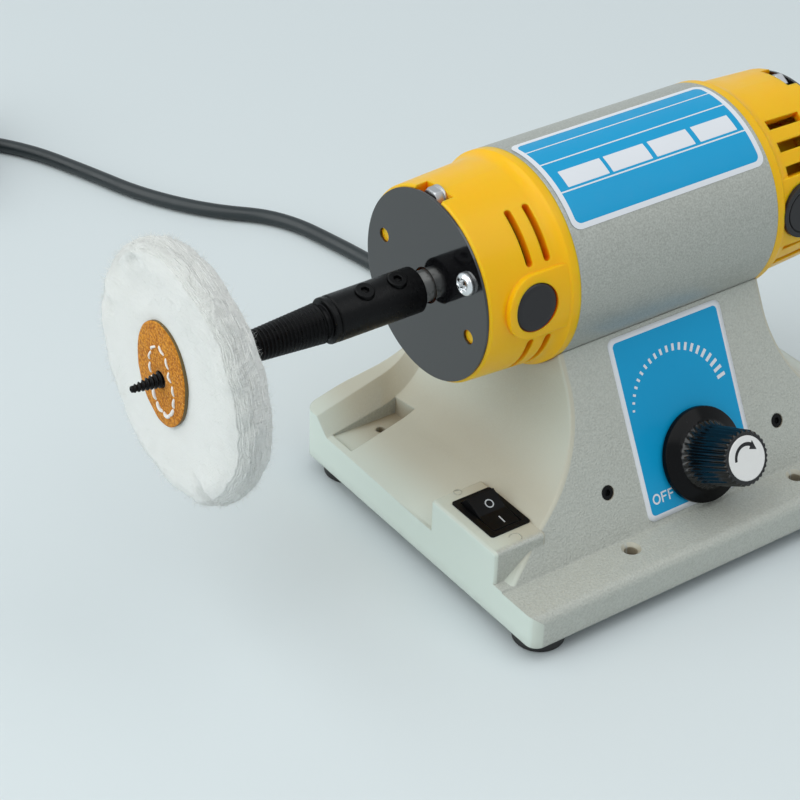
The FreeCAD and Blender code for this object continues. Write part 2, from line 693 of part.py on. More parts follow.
def bottom_cover():
    cover = rounded_plate(HALF - WALL - COVER_GAP, (BASE_FRONT + BASE_BACK) / 2 - WALL - COVER_GAP,
                          BASE_CORNER_R / 2, BASE_Z, BASE_Z + COVER_T)
    cover.translate(vec(0, (BASE_BACK - BASE_FRONT) / 2, 0))
    holes = [rod(FOOT_SCREW_R + FIT, p, p + vec(0, 0, TOP_Z)) for p in foot_places()]
    for side in (-1, 1):
        place = vec(side * LEDGE_HOLE_X, -LEDGE_HOLE_Y, 0)
        holes.append(rod(LEDGE_HOLE_R + COVER_GAP, place, place + vec(0, 0, TOP_Z)))
    return cover.cut(holes)


def feet():
    low = FOOT_R - FOOT_TAPER
    foot = turned_z((0, 0), [(low - FOOT_EDGE, 0), (low, FOOT_EDGE), (FOOT_R, FOOT_HEIGHT), (0, FOOT_HEIGHT)])
    foot = foot.cut([rod(FOOT_SCREW_R + FIT, vec(0, 0, -1), vec(0, 0, FOOT_HEIGHT + 1)),
                     rod(FOOT_HEAD_R + COVER_GAP, vec(0, 0, -1), vec(0, 0, FOOT_SINK))])
    return group([foot.translated(p) for p in foot_places()])


def foot_screws():
    head = rod(FOOT_HEAD_R, vec(0, 0, FOOT_SINK - PAN_HEAD_T), vec(0, 0, FOOT_SINK))
    shank = rod(FOOT_SCREW_R, vec(0, 0, FOOT_SINK), vec(0, 0, BASE_Z + COVER_T + FOOT_SCREW_GRIP))
    return group([fused([head, shank]).translated(p) for p in foot_places()])


# ---- speed control on the front panel ---------------------------------------------------------------
def panel_label():
    low = LEDGE_HEIGHT + PANEL_LABEL_LOW
    high = seam(0)[1] - BASE_Z - PANEL_LABEL_HIGH
    plate = rounded_plate(PANEL_LABEL_HALF, (high - low) / math.cos(TILT) / 2, LABEL_CORNER_R, 0, LABEL_T)
    plate = on_panel(plate, 0, (high + low) / 2)
    return plate.cut(on_panel(rod(BUSHING_R + FIT, vec(0, 0, -1), vec(0, 0, 1)), CONTROL_X, CONTROL_HEIGHT))


def panel_screws():
    tip = -WALL - BRACKET_T - PANEL_SCREW_END
    screw = fused([rod(PANEL_SCREW_HEAD_R, vec(0, 0, -PANEL_SINK), vec(0, 0, -PANEL_SCREW_SUNK)),
                   rod(PANEL_SCREW_R, vec(0, 0, tip), vec(0, 0, -PANEL_SINK))])
    screw = screw.cut(hexagon(PANEL_SCREW_AF, -PANEL_SCREW_SUNK - PANEL_SCREW_SOCKET, 0))
    return group([on_panel(screw, side * PANEL_SCREW_X, CONTROL_HEIGHT) for side in (-1, 1)])


def control_bracket():
    plate = rounded_plate(BRACKET_HALF, BRACKET_WIDTH / 2, BRACKET_CORNER_R, -WALL - BRACKET_T, -WALL)
    holes = [rod(BUSHING_R + FIT, vec(CONTROL_X, 0, -2 * WALL), vec(CONTROL_X, 0, 0))]
    holes += [rod(PANEL_SCREW_R + FIT, vec(s * PANEL_SCREW_X, 0, -2 * WALL), vec(s * PANEL_SCREW_X, 0, 0))
              for s in (-1, 1)]
    return on_panel(plate.cut(holes), 0, CONTROL_HEIGHT)


def control_pot():
    face = POT_BACK + POT_LENGTH
    body = turned_z((0, POT_BACK), [(POT_R, POT_BACK), (POT_R, face), (BUSHING_R, face),
                                    (BUSHING_R, BUSHING_LENGTH), (0, BUSHING_LENGTH)])
    bore = rod(CONTROL_SHAFT_R + RUNNING_FIT, vec(0, 0, POT_BACK + POT_FLOOR), vec(0, 0, KNOB_LENGTH))
    return on_panel(body.cut(bore), CONTROL_X, CONTROL_HEIGHT)


def control_nut():
    nut = hexagon(CONTROL_NUT_AF, LABEL_T, LABEL_T + CONTROL_NUT_T)
    nut = nut.cut(rod(BUSHING_R + FIT, vec(0, 0, 0), vec(0, 0, KNOB_LENGTH)))
    return on_panel(nut, CONTROL_X, CONTROL_HEIGHT)


def speed_board():
    top = POT_BACK
    under = top - BOARD_T
    board = box((-BOARD_X / 2, BOARD_X / 2), (-BOARD_Y / 2, BOARD_Y / 2), (under, top))
    capacitor = rod(CAPACITOR_R, vec(*CAPACITOR_AT, top), vec(*CAPACITOR_AT, top + CAPACITOR_LENGTH))
    triac = box((TRIAC_AT[0] - TRIAC_X / 2, TRIAC_AT[0] + TRIAC_X / 2),
                (TRIAC_AT[1] - TRIAC_Y / 2, TRIAC_AT[1] + TRIAC_Y / 2), (top, top + TRIAC_T))
    choke = rod(CHOKE_R, vec(*CHOKE_AT, under - CHOKE_LENGTH), vec(*CHOKE_AT, under))
    return on_panel(fused([board, capacitor, triac, choke]), CONTROL_X, CONTROL_HEIGHT)


def knob():
    low = KNOB_LIFT
    top = low + SKIRT_T
    grip = top + SKIRT_RISE + KNOB_FOOT_RISE
    body = turned_z((0, low), [(SKIRT_R, low), (SKIRT_R, top - SKIRT_EDGE), (SKIRT_R - SKIRT_EDGE, top),
                               (KNOB_BASE_R + KNOB_FOOT_RUN, top + SKIRT_RISE), (KNOB_BASE_R, grip),
                               (KNOB_FRONT_R, KNOB_LENGTH - KNOB_EDGE),
                               (KNOB_FRONT_R - KNOB_EDGE, KNOB_LENGTH), (0, KNOB_LENGTH)])
    groove = rod(FLUTE_R, vec(KNOB_BASE_R + FLUTE_OUT, 0, grip + KNOB_FOOT_RISE),
                 vec(KNOB_FRONT_R + FLUTE_OUT, 0, KNOB_LENGTH + 1))
    grooves = []
    for i in range(FLUTES):
        copy = groove.copy()
        copy.rotate(ZERO, Z_AXIS, 360 * i / FLUTES)
        grooves.append(copy)
    recess = rod(KNOB_RECESS_R, vec(0, 0, 0), vec(0, 0, BUSHING_LENGTH + KNOB_RECESS_GAP))
    bore = rod(CONTROL_SHAFT_R + FIT, vec(0, 0, 0), vec(0, 0, CONTROL_BORE_END))
    seat = rod(CAP_R + FIT, vec(0, 0, KNOB_LENGTH - CAP_T), vec(0, 0, KNOB_LENGTH + 1))
    return on_panel(body.cut(grooves + [recess, bore, seat]), CONTROL_X, CONTROL_HEIGHT)


def knob_cap():
    front = KNOB_LENGTH + CAP_STANDS
    cap = turned_z((0, KNOB_LENGTH - CAP_T), [(CAP_R, KNOB_LENGTH - CAP_T), (CAP_R, front - CAP_CHAMFER),
                                              (CAP_R - CAP_CHAMFER, front), (0, front)])
    return on_panel(cap, CONTROL_X, CONTROL_HEIGHT)


def control_shaft():
    shaft = rod(CONTROL_SHAFT_R, vec(0, 0, POT_BACK + POT_FLOOR + POT_END_GAP),
                vec(0, 0, CONTROL_BORE_END - POT_END_GAP))
    return on_panel(shaft, CONTROL_X, CONTROL_HEIGHT)


# ---- rocker switch --------------------------------------------------------------------------------
def at_pivot(shape):
    copy = shape.copy()
    copy.translate(vec(SWITCH_X, -SWITCH_Y, PIVOT_Z))
    return copy


def switch_housing():
    bezel = rounded_plate(BEZEL_X / 2, BEZEL_Y / 2, BEZEL_CORNER_R, PIVOT_DEPTH - BEZEL_T, PIVOT_DEPTH)
    body = box((-SWITCH_BODY_X / 2, SWITCH_BODY_X / 2), (-SWITCH_BODY_Y / 2, SWITCH_BODY_Y / 2),
               (PIVOT_DEPTH - SWITCH_DEPTH, PIVOT_DEPTH - BEZEL_T))
    side = ROCKER_X / 2 + SOFT_GAP
    well = box((-side, side), (-ROCKER_REACH - SOFT_GAP, ROCKER_REACH + SOFT_GAP),
               (-ROCKER_REACH - SOFT_GAP, PIVOT_DEPTH + 1))
    pin = PIVOT_R + RUNNING_FIT
    reach = SWITCH_BODY_X / 2 - PIVOT_COVER
    return at_pivot(fused([bezel, body]).cut([well, bar(pin, -reach, reach)]))


def switch_terminals():
    low = PIVOT_DEPTH - SWITCH_DEPTH
    blade = box((-BLADE_X / 2, BLADE_X / 2), (-BLADE_T / 2, BLADE_T / 2), (low - BLADE_LENGTH, low))
    spread = SWITCH_BODY_Y / 2 - BLADE_INSET
    return group([at_pivot(blade.translated(vec(0, side * spread, 0))) for side in (-1, 1)])


def switch_rocker():
    """Rocker with its I end, at the front, pressed in."""
    high = math.sqrt(ROCKER_REACH ** 2 - ROCKER_HALF_Y ** 2)
    dip = high - ROCKER_HALF_Y * math.tan(math.radians(ROCKER_BEND))
    belly = math.sqrt(ROCKER_REACH ** 2 - ROCKER_BELLY ** 2)
    steps = [(0, dip), (ROCKER_HALF_Y, high), (ROCKER_REACH, 0, belly, -ROCKER_BELLY),
             (-belly, -ROCKER_BELLY), (-ROCKER_REACH, 0, -ROCKER_HALF_Y, high)]
    wire = wire_of((-ROCKER_HALF_Y, high), steps, lambda y, z: vec(-ROCKER_X / 2, y, z))
    rocker = Part.Face(wire).extrude(vec(ROCKER_X, 0, 0))
    reach = SWITCH_BODY_X / 2 - PIVOT_COVER - PIVOT_END_GAP
    rocker = fused([rocker, bar(PIVOT_R, -reach, reach)])
    rocker.rotate(ZERO, X_AXIS, ROCKER_THROW)
    return at_pivot(rocker)


# ---- motor housing -----------------------------------------------------------------------------------
def motor_shell():
    shell = ring(SHELL_R, BORE_IN_SHELL, -SHELL_LEFT, SHELL_RIGHT)
    return raised(shell.cut(motor_screw(MOTOR_SCREW_R + FIT, MOTOR_SCREW_IN, SHELL_R + 1)))


def port_pad(x, half):
    """Raised D-shaped pad around a port at the front, running on to the cap's rim."""
    thick = PORT_PAD_R + 1
    disc = rod(half, vec(x, 0, 0), vec(x, -thick, 0))
    rim = -SHELL_LEFT - CAP_RIM if x < 0 else SHELL_RIGHT + CAP_RIM
    tongue = box((min(x, rim), max(x, rim)), (-thick, 0), (-half, half))
    return fused([disc, tongue]).common(bar(PORT_PAD_R, x - 2 * half, x + 2 * half))


def cap_blank(start, direction):
    """End cap without its openings, from the shell's end outwards along X."""
    def at(s):
        return start + direction * s
    cove_r = CAP_BARREL_R + CAP_STEP * COVE_SHAPE[1]
    edge = CAP_EDGE_R * (1 - math.sqrt(0.5))
    steps = [(at(CAP_RIM), SHELL_R),
             (at(CAP_RIM + CAP_COVE * COVE_SHAPE[0]), cove_r, at(CAP_RIM + CAP_COVE), CAP_BARREL_R),
             (at(CAP_LENGTH - CAP_EDGE_R), CAP_END_R),
             (at(CAP_LENGTH - edge), CAP_END_R - edge, at(CAP_LENGTH), CAP_END_R - CAP_EDGE_R),
             (at(CAP_LENGTH), 0), (at(-SPIGOT), 0),
             (at(-SPIGOT), BORE_IN_SHELL - FIT), (at(0), BORE_IN_SHELL - FIT)]
    blank = turned((at(0), SHELL_R), steps)
    inner_end = UNDER_CAP - BEARING_WIDTH
    cavity = bar(CAVITY_R, at(-SPIGOT - 1), at(UNDER_CAP))
    housing = bar(BEARING_R + BEARING_WALL, at(inner_end), at(UNDER_CAP))
    posts = [rod(SCREW_POST_R, polar(at(UNDER_CAP - PLATE_SCREW_GRIP + CAP_WALL), PLATE_SCREW_RING_R, a),
                 polar(at(UNDER_CAP), PLATE_SCREW_RING_R, a))
             for a in (PLATE_SCREW_ANGLE, PLATE_SCREW_ANGLE + 180)]
    posts += [rod(TIE_NOTCH_HALF + TIE_POST_WALL, polar(at(UNDER_CAP - TIE_POST_LENGTH), TIE_RING_R, a),
                  polar(at(UNDER_CAP), TIE_RING_R, a))
              for a in (TIE_ANGLE, TIE_ANGLE + 180)]
    cavity = cavity.cut([housing] + posts)
    cuts = [cavity, bar(BEARING_R + FIT, at(inner_end - 1), at(UNDER_CAP)),
            bar(SHAFT_R + SHAFT_CLEAR, at(UNDER_CAP - 1), at(CAP_LENGTH + 1))]
    cuts += [rod(PLATE_SCREW_R + FIT, polar(at(UNDER_CAP - PLATE_SCREW_GRIP), PLATE_SCREW_RING_R, a),
                 polar(at(CAP_LENGTH + 1), PLATE_SCREW_RING_R, a))
             for a in (PLATE_SCREW_ANGLE, PLATE_SCREW_ANGLE + 180)]
    cuts += [rod(TIE_R + FIT, polar(at(-SPIGOT - 1), TIE_RING_R, a), polar(at(CAP_LENGTH + 1), TIE_RING_R, a))
             for a in (TIE_ANGLE, TIE_ANGLE + 180)]
    notch = box((-TIE_NOTCH / 2 - 1, TIE_NOTCH / 2 + 1), (-TIE_NOTCH_HALF, TIE_NOTCH_HALF),
                (TIE_RING_R - TIE_WASHER_R - TIE_NOTCH_GAP, SHELL_R + 2))
    notch.translate(vec(at(CAP_LENGTH - TIE_NOTCH / 2 + 1), 0, 0))
    cuts += [rolled(notch, TIE_ANGLE - 90), rolled(notch, TIE_ANGLE + 90)]
    return blank.cut(cuts)


def left_end_cap():
    cap = cap_blank(-SHELL_LEFT, -1)
    hollow = bar(CAVITY_R, -SHELL_LEFT, -SHELL_LEFT - UNDER_CAP)
    slots = []
    for tilt in (PORT_TILT, PORT_TILT + 180):
        port = port_pad(-PLUG_X, PLUG_PAD_HALF).cut(hollow)
        cap = cap.fuse(rolled(port, tilt))
        deep = CAVITY_R - 2
        seat = PORT_PAD_R - PLUG_SUNK - PLUG_T
        bore = fused([rod(PLUG_R + FIT, vec(-PLUG_X, -PORT_PAD_R - 1, 0), vec(-PLUG_X, -seat, 0)),
                      rod(PLUG_R - PLUG_LIP, vec(-PLUG_X, -seat, 0), vec(-PLUG_X, -seat + 2 * WALL, 0))])
        slots.append(rolled(bore, tilt))
        for x in [SHELL_LEFT + place for place in LEFT_VENTS_FROM_SHELL]:
            half = LEFT_VENT_W / 2
            for low, high in ((LEFT_VENT_FROM, LEFT_VENT_TO), (-LEFT_VENT_TO, -LEFT_VENT_FROM)):
                slot = sector(SHELL_R + 1, deep, -x - half, -x + half, low + tilt, high + tilt)
                ends = [rod(half, polar(-x, deep, a + tilt), polar(-x, SHELL_R + 1, a + tilt))
                        for a in (low, high)]
                slots.append(fused([slot] + ends))
    return raised(cap.cut(slots).removeSplitter())


def right_end_cap():
    cap = cap_blank(SHELL_RIGHT, 1)
    hollow = bar(CAVITY_R, SHELL_RIGHT, SHELL_RIGHT + UNDER_CAP)
    slots = []
    for tilt in (PORT_TILT, PORT_TILT + 180):
        port = port_pad(BRUSH_X, BRUSH_PAD_HALF).cut(hollow)
        cap = cap.fuse(rolled(port, tilt))
        seat = vec(BRUSH_X, -BRUSH_SEAT_R, 0)
        bore = fused([rod(BRUSH_CAP_R + FIT, vec(BRUSH_X, -PORT_PAD_R - 1, 0), seat),
                      rod(HOLDER_R + FIT, seat, vec(BRUSH_X, -CAVITY_R + 2 * WALL, 0))])
        slots.append(rolled(bore, tilt))
        half = RIGHT_VENT_W / 2
        start = SHELL_RIGHT + RIGHT_VENT_FROM_SHELL
        vent = box((start, start + RIGHT_VENT_LENGTH), (-SHELL_R - 1, -CAVITY_R + WALL), (-half, half))
        for angle in RIGHT_VENT_ANGLES:
            slots += [rolled(vent, tilt + angle), rolled(vent, tilt - angle)]
    return raised(cap.cut(slots).removeSplitter())


def end_plate(inner, direction):
    plate = bar(PLATE_R, inner, inner + direction * PLATE_T)
    low = min(inner, inner + direction * PLATE_T) - 1
    high = low + PLATE_T + 2
    holes = [bar(PLATE_HOLE_R, low, high)]
    for turn in (0, 180):
        holes.append(rod(PLATE_SCREW_R + FIT, polar(low, PLATE_SCREW_RING_R, PLATE_SCREW_ANGLE + turn),
                         polar(high, PLATE_SCREW_RING_R, PLATE_SCREW_ANGLE + turn)))
        holes.append(rod(PLATE_VIEW_R, polar(low, PLATE_SCREW_RING_R, PLATE_VIEW_ANGLE + turn),
                         polar(high, PLATE_SCREW_RING_R, PLATE_VIEW_ANGLE + turn)))
    return raised(plate.cut(holes))


def end_plate_screws():
    screws = []
    for face, direction in ((-PLATE_LEFT_END, 1), (PLATE_RIGHT_END, -1)):
        for turn in (0, 180):
            angle = PLATE_SCREW_ANGLE + turn
            seat = polar(face, PLATE_SCREW_RING_R, angle)
            out = vec(-direction, 0, 0)
            head = Part.makeCone(PLATE_SCREW_HEAD_R, PLATE_SCREW_HEAD_R * PLATE_HEAD_TAPER, PAN_HEAD_T,
                                 seat, out)
            grip = PLATE_SCREW_GRIP + PLATE_T - SCREW_END_GAP
            shank = rod(PLATE_SCREW_R, seat, seat - out * grip)
            screws.append(raised(fused([head, shank])))
    return group(screws)


def tie_bolts():
    """Hexagon bolts through the motor, with washers under their heads."""
    seat = -CAP_LEFT_END + TIE_NOTCH - TIE_WASHER_T
    end = CAP_RIGHT_END - TIE_NOTCH + TIE_NUT_T + TIE_END
    bolts = []
    for angle in (TIE_ANGLE, TIE_ANGLE + 180):
        head = hexagon(TIE_AF, 0, TIE_HEAD_T)
        head.rotate(ZERO, Y_AXIS, -90)
        head.translate(polar(seat, TIE_RING_R, angle))
        washer = rod(TIE_WASHER_R, polar(seat, TIE_RING_R, angle),
                     polar(seat + TIE_WASHER_T, TIE_RING_R, angle))
        shank = rod(TIE_R, polar(seat, TIE_RING_R, angle), polar(end, TIE_RING_R, angle))
        bolts.append(raised(fused([head, washer, shank])))
    return group(bolts)


def tie_nuts():
    nuts = []
    for angle in (TIE_ANGLE, TIE_ANGLE + 180):
        nut = hexagon(TIE_AF, 0, TIE_NUT_T)
        nut = nut.cut(rod(TIE_R + FIT, vec(0, 0, -1), vec(0, 0, TIE_NUT_T + 1)))
        nut.rotate(ZERO, Y_AXIS, 90)
        nut.translate(polar(CAP_RIGHT_END - TIE_NOTCH, TIE_RING_R, angle))
        nuts.append(raised(nut))
    return group(nuts)


def port_plugs():
    front = PORT_PAD_R - PLUG_SUNK
    plug = rod(PLUG_R, vec(-PLUG_X, -front + PLUG_T, 0), vec(-PLUG_X, -front, 0))
    return group([raised(rolled(plug, tilt)) for tilt in (PORT_TILT, PORT_TILT + 180)])


def brush_set(shape):
    return group([raised(rolled(shape, tilt)) for tilt in (PORT_TILT, PORT_TILT + 180)])


def brush_channel(half_a, half_b, inner, outer):
    return box((BRUSH_X - half_a, BRUSH_X + half_a), (-outer, -inner), (-half_b, half_b))


def brush_holders():
    tube = rod(HOLDER_R, vec(BRUSH_X, -HOLDER_INNER, 0), vec(BRUSH_X, -BRUSH_SEAT_R, 0))
    channel = brush_channel(BRUSH_A / 2 + FIT, BRUSH_B / 2 + FIT, 0, SHELL_R)
    return brush_set(tube.cut(channel))


def carbon_brushes():
    inner = COMMUTATOR_R + RUNNING_FIT
    block = brush_channel(BRUSH_A / 2, BRUSH_B / 2, 0, inner + BRUSH_LENGTH)
    return brush_set(block.cut(bar(inner, BRUSH_X - BRUSH_A, BRUSH_X + BRUSH_A)).common(
        brush_channel(BRUSH_A, BRUSH_B, BRUSH_A, SHELL_R)))


def brush_springs():
    inner = COMMUTATOR_R + RUNNING_FIT + BRUSH_LENGTH
    spring = rod(SPRING_R, vec(BRUSH_X, -inner, 0), vec(BRUSH_X, -BRUSH_SEAT_R, 0))
    return brush_set(spring.cut(rod(SPRING_BORE_R, vec(BRUSH_X, 0, 0), vec(BRUSH_X, -SHELL_R, 0))))


def brush_caps():
    front = BRUSH_SEAT_R + BRUSH_CAP_T
    head = rod(BRUSH_CAP_R, vec(BRUSH_X, -BRUSH_SEAT_R, 0), vec(BRUSH_X, -front, 0))
    reach = BRUSH_CAP_R - BRUSH_SLOT_INSET
    slot = box((BRUSH_X - BRUSH_SLOT_W / 2, BRUSH_X + BRUSH_SLOT_W / 2),
               (-front - 1, -front + BRUSH_SLOT_DEPTH), (-reach, reach))
    groove = rod(BRUSH_GROOVE_R, vec(BRUSH_X, -front + BRUSH_GROOVE, 0), vec(BRUSH_X, -front - 1, 0)).cut(
        rod(BRUSH_GROOVE_R - BRUSH_GROOVE, vec(BRUSH_X, 0, 0), vec(BRUSH_X, -front - 1, 0)))
    return brush_set(head.cut([slot, groove]))


def coil_slot(top, angle_from, angle_to):
    """Slot in the stator for one side of a field coil."""
    return sector(COIL_OUT_R + COIL_SLOT_GAP, COIL_IN_R - COIL_SLOT_GAP, -CORE_HALF - 1, CORE_HALF + 1,
                  top + angle_from - COIL_SLOT_ANGLE, top + angle_to + COIL_SLOT_ANGLE)


def stator_core():
    core = ring(BORE_IN_SHELL - FIT, BORE_R, -CORE_HALF, CORE_HALF)
    cuts = []
    for top in (90, 270):
        cuts.append(coil_slot(top, POLE_HALF_ANGLE, COIL_HALF_ANGLE))
        cuts.append(coil_slot(top, -COIL_HALF_ANGLE, -POLE_HALF_ANGLE))
        tie = TIE_ANGLE - 90 + top
        cuts.append(rod(TIE_R + 2 * FIT, polar(-CORE_HALF - 1, TIE_RING_R, tie),
                        polar(CORE_HALF + 1, TIE_RING_R, tie)))
        for x in (-MOTOR_SCREW_X, MOTOR_SCREW_X):
            for turn in (-MOTOR_SCREW_ANGLE, MOTOR_SCREW_ANGLE):
                cuts.append(rod(MOTOR_SCREW_R + FIT, polar(x, MOTOR_SCREW_IN, turn - 90),
                                polar(x, SHELL_R, turn - 90)))
    return raised(core.cut(cuts))


def field_coils():
    reach = CORE_HALF + COIL_OVERHANG
    coils = []
    for top in (90, 270):
        block = sector(COIL_OUT_R, COIL_IN_R, -reach, reach, top - COIL_HALF_ANGLE, top + COIL_HALF_ANGLE)
        inside = CORE_HALF + COIL_SLOT_GAP
        window = sector(COIL_OUT_R + 1, COIL_IN_R - 1, -inside, inside,
                        top - POLE_HALF_ANGLE, top + POLE_HALF_ANGLE)
        coils.append(raised(block.cut(window)))
    return group(coils)


def motor_screws():
    seat = SADDLE_R + WALL + MOTOR_BOSS_T
    shanks = motor_screw(MOTOR_SCREW_R, MOTOR_SCREW_IN + SCREW_END_GAP, seat)
    heads = motor_screw(MOTOR_SCREW_HEAD_R, seat, seat + PAN_HEAD_T)
    return group([raised(fused([s, h])) for s, h in zip(shanks, heads)])


def motor_label():
    sheet = sector(SHELL_R + FIT + LABEL_T, SHELL_R + FIT, -SHELL_LEFT + MOTOR_LABEL_INSET,
                   SHELL_RIGHT - MOTOR_LABEL_INSET, MOTOR_LABEL_LOW_ANGLE, MOTOR_LABEL_HIGH_ANGLE)
    return raised(sheet)


def bearing_rings(outer, inner):
    """The same ring in the bearing at each end."""
    left = -SHELL_LEFT - UNDER_CAP
    right = SHELL_RIGHT + UNDER_CAP
    return group([raised(ring(outer, inner, left, left + BEARING_WIDTH)),
                  raised(ring(outer, inner, right - BEARING_WIDTH, right))])


def bearing_outer_rings():
    return bearing_rings(BEARING_R, BEARING_SPLIT_R + RUNNING_FIT)


def bearing_inner_rings():
    return bearing_rings(BEARING_SPLIT_R, SHAFT_R + FIT)


# ---- spindle ----------------------------------------------------------------------------------------------
def armature_shaft():
    step = PLATE_RIGHT_END + OUTPUT_SHOULDER
    main = bar(SHAFT_R, -SHAFT_LEFT_END, step)
    end = turned((step, 0), [(step, OUTPUT_R), (SHAFT_RIGHT_END - OUTPUT_CHAMFER, OUTPUT_R),
                             (SHAFT_RIGHT_END, OUTPUT_R - OUTPUT_CHAMFER), (SHAFT_RIGHT_END, 0)])
    return raised(fused([main, end]))


def armature_core():
    return raised(ring(BORE_R - AIR_GAP, SHAFT_R + FIT, -CORE_HALF, CORE_HALF))


def armature_winding():
    rings = []
    for low, high in ((-CORE_HALF - WINDING_END, -CORE_HALF), (CORE_HALF, CORE_HALF + WINDING_END)):
        middle = (low + high) / 2
        inner = SHAFT_R + FIT
        crown = WINDING_R - WINDING_CROWN
        steps = [(low, crown), (middle, WINDING_R, high, crown), (high, inner)]
        rings.append(raised(turned((low, inner), steps)))
    return group(rings)


def commutator():
    high = SHELL_RIGHT + UNDER_CAP - BEARING_WIDTH - COMMUTATOR_CLEAR
    return raised(ring(COMMUTATOR_R, SHAFT_R + FIT, 2 * BRUSH_X - high, high))


def cooling_fan():
    root = -SHELL_LEFT - FAN_FROM_SHELL
    end = root - FAN_WIDTH
    disc = ring(FAN_R, SHAFT_R + FIT, root, root + FAN_T)
    hub = ring(FAN_HUB_R, SHAFT_R + FIT, end, root)
    blades = []
    for i in range(FAN_BLADES):
        blade = box((end, root), (-FAN_BLADE_T / 2, FAN_BLADE_T / 2),
                    (FAN_HUB_R - FAN_BLADE_T / 2, FAN_R - FAN_BLADE_INSET))
        blades.append(rolled(blade, 360 * i / FAN_BLADES))
    return raised(fused([disc, hub] + blades))


def set_screw_places():
    return [SLEEVE_RIGHT + place for place in SET_SCREWS_FROM_END]


def set_screw_axis(x, radius):
    return polar(-x, radius, SET_SCREW_ANGLE)


def coupling_sleeve():
    c = SLEEVE_CHAMFER
    sleeve = turned((-SLEEVE_LEFT, 0), [(-SLEEVE_LEFT, SLEEVE_R - c), (-SLEEVE_LEFT + c, SLEEVE_R),
                                        (-SLEEVE_RIGHT - c / 2, SLEEVE_R), (-SLEEVE_RIGHT, SLEEVE_R - c / 2),
                                        (-SLEEVE_RIGHT, 0)])
    cuts = [bar(SHAFT_R + FIT, -SLEEVE_LEFT - 1, -SLEEVE_RIGHT + 1)]
    for x in set_screw_places():
        cuts += [rod(SET_SCREW_R + FIT, set_screw_axis(x, 0), set_screw_axis(x, SLEEVE_R)),
                 rod(SET_HEAD_R + FIT, set_screw_axis(x, SET_SEAT_R), set_screw_axis(x, SLEEVE_R + 1))]
    return raised(sleeve.cut(cuts))


def set_screws():
    screws = []
    for x in set_screw_places():
        top = SLEEVE_R + SET_SCREW_STANDS
        screw = fused([rod(SET_SCREW_R, set_screw_axis(x, SHAFT_R + FIT), set_screw_axis(x, SET_SEAT_R)),
                       rod(SET_HEAD_R, set_screw_axis(x, SET_SEAT_R), set_screw_axis(x, top))])
        socket = rod(SET_SOCKET_R, set_screw_axis(x, top - SET_SOCKET_DEPTH), set_screw_axis(x, top + 1))
        screws.append(raised(screw.cut(socket)))
    return group(screws)


def taper_radius(x):
    """Radius of the mandrel's taper at a distance from the motor's middle."""
    share = (x - TAPER_START) / TAPER_LENGTH
    return TAPER_BIG_R + (TAPER_SMALL_R - TAPER_BIG_R) * share


def screw_mandrel():
    shank_end = SHAFT_LEFT_END + MANDREL_GAP
    shoulder = SLEEVE_LEFT + SHOULDER_T
    c = SLEEVE_CHAMFER
    steps = [(-shank_end, SHAFT_R), (-SLEEVE_LEFT, SHAFT_R), (-SLEEVE_LEFT, SHOULDER_R),
             (-shoulder + c, SHOULDER_R), (-shoulder, SHOULDER_R - c), (-shoulder, NECK_R),
             (-TAPER_START, NECK_R), (-TAPER_START, TAPER_BIG_R), (-TAPER_END, TAPER_SMALL_R),
             (-TIP_X + TIP_R, TIP_R), (-TIP_X, 0)]
    return raised(turned((-shank_end, 0), steps))


def taper_bore(x_from, x_to):
    """Tapered hole that the mandrel screws into, with a little play."""
    return turned((-x_from, 0), [(-x_from, taper_radius(x_from) + FIT), (-x_to, taper_radius(x_to) + FIT),
                                 (-x_to, 0)])


def buffing_wheel():
    front = WHEEL_FACE_X
    back = front - WHEEL_HUB_T
    edge = WHEEL_RIM_R * (1 - math.sqrt(0.5))
    out = front + WHEEL_FRONT_BULGE
    inn = back - WHEEL_BACK_BULGE
    step = LEATHER_R + WHEEL_STEP
    full = step + WHEEL_DISH
    steps = [(-back, step), (-inn, full), (-inn, WHEEL_R - WHEEL_RIM_R),
             (-inn - edge, WHEEL_R - edge, -inn - WHEEL_RIM_R, WHEEL_R), (-out + WHEEL_RIM_R, WHEEL_R),
             (-out + edge, WHEEL_R - edge, -out, WHEEL_R - WHEEL_RIM_R), (-out, full), (-front, step),
             (-front, 0)]
    return raised(turned((-back, 0), steps).cut(taper_bore(back - 1, front + 1)))


def leather_discs():
    discs = []
    back = WHEEL_FACE_X - WHEEL_HUB_T
    for low, high in ((back - LEATHER_T, back), (WHEEL_FACE_X, WHEEL_FACE_X + LEATHER_T)):
        disc = bar(LEATHER_R, -high, -low)
        discs.append(raised(disc.cut(taper_bore(low - 1, high + 1))))
    return group(discs)


# ---- power cord -----------------------------------------------------------------------------------------
def strain_relief():
    wall_in = BASE_BACK - WALL
    flange = BASE_BACK + RELIEF_FLANGE_T
    relief = turned((wall_in - RELIEF_FLANGE_T, 0),
                    [(wall_in - RELIEF_FLANGE_T, RELIEF_FLANGE_R), (wall_in, RELIEF_FLANGE_R),
                     (wall_in, RELIEF_NECK_R), (BASE_BACK, RELIEF_NECK_R), (BASE_BACK, RELIEF_FLANGE_R),
                     (flange, RELIEF_FLANGE_R), (flange, RELIEF_ROOT_R), (RELIEF_END, RELIEF_TIP_R),
                     (RELIEF_END, 0)])
    relief.rotate(ZERO, Z_AXIS, 90)
    return relief.translated(vec(RELIEF_X, 0, RELIEF_Z))


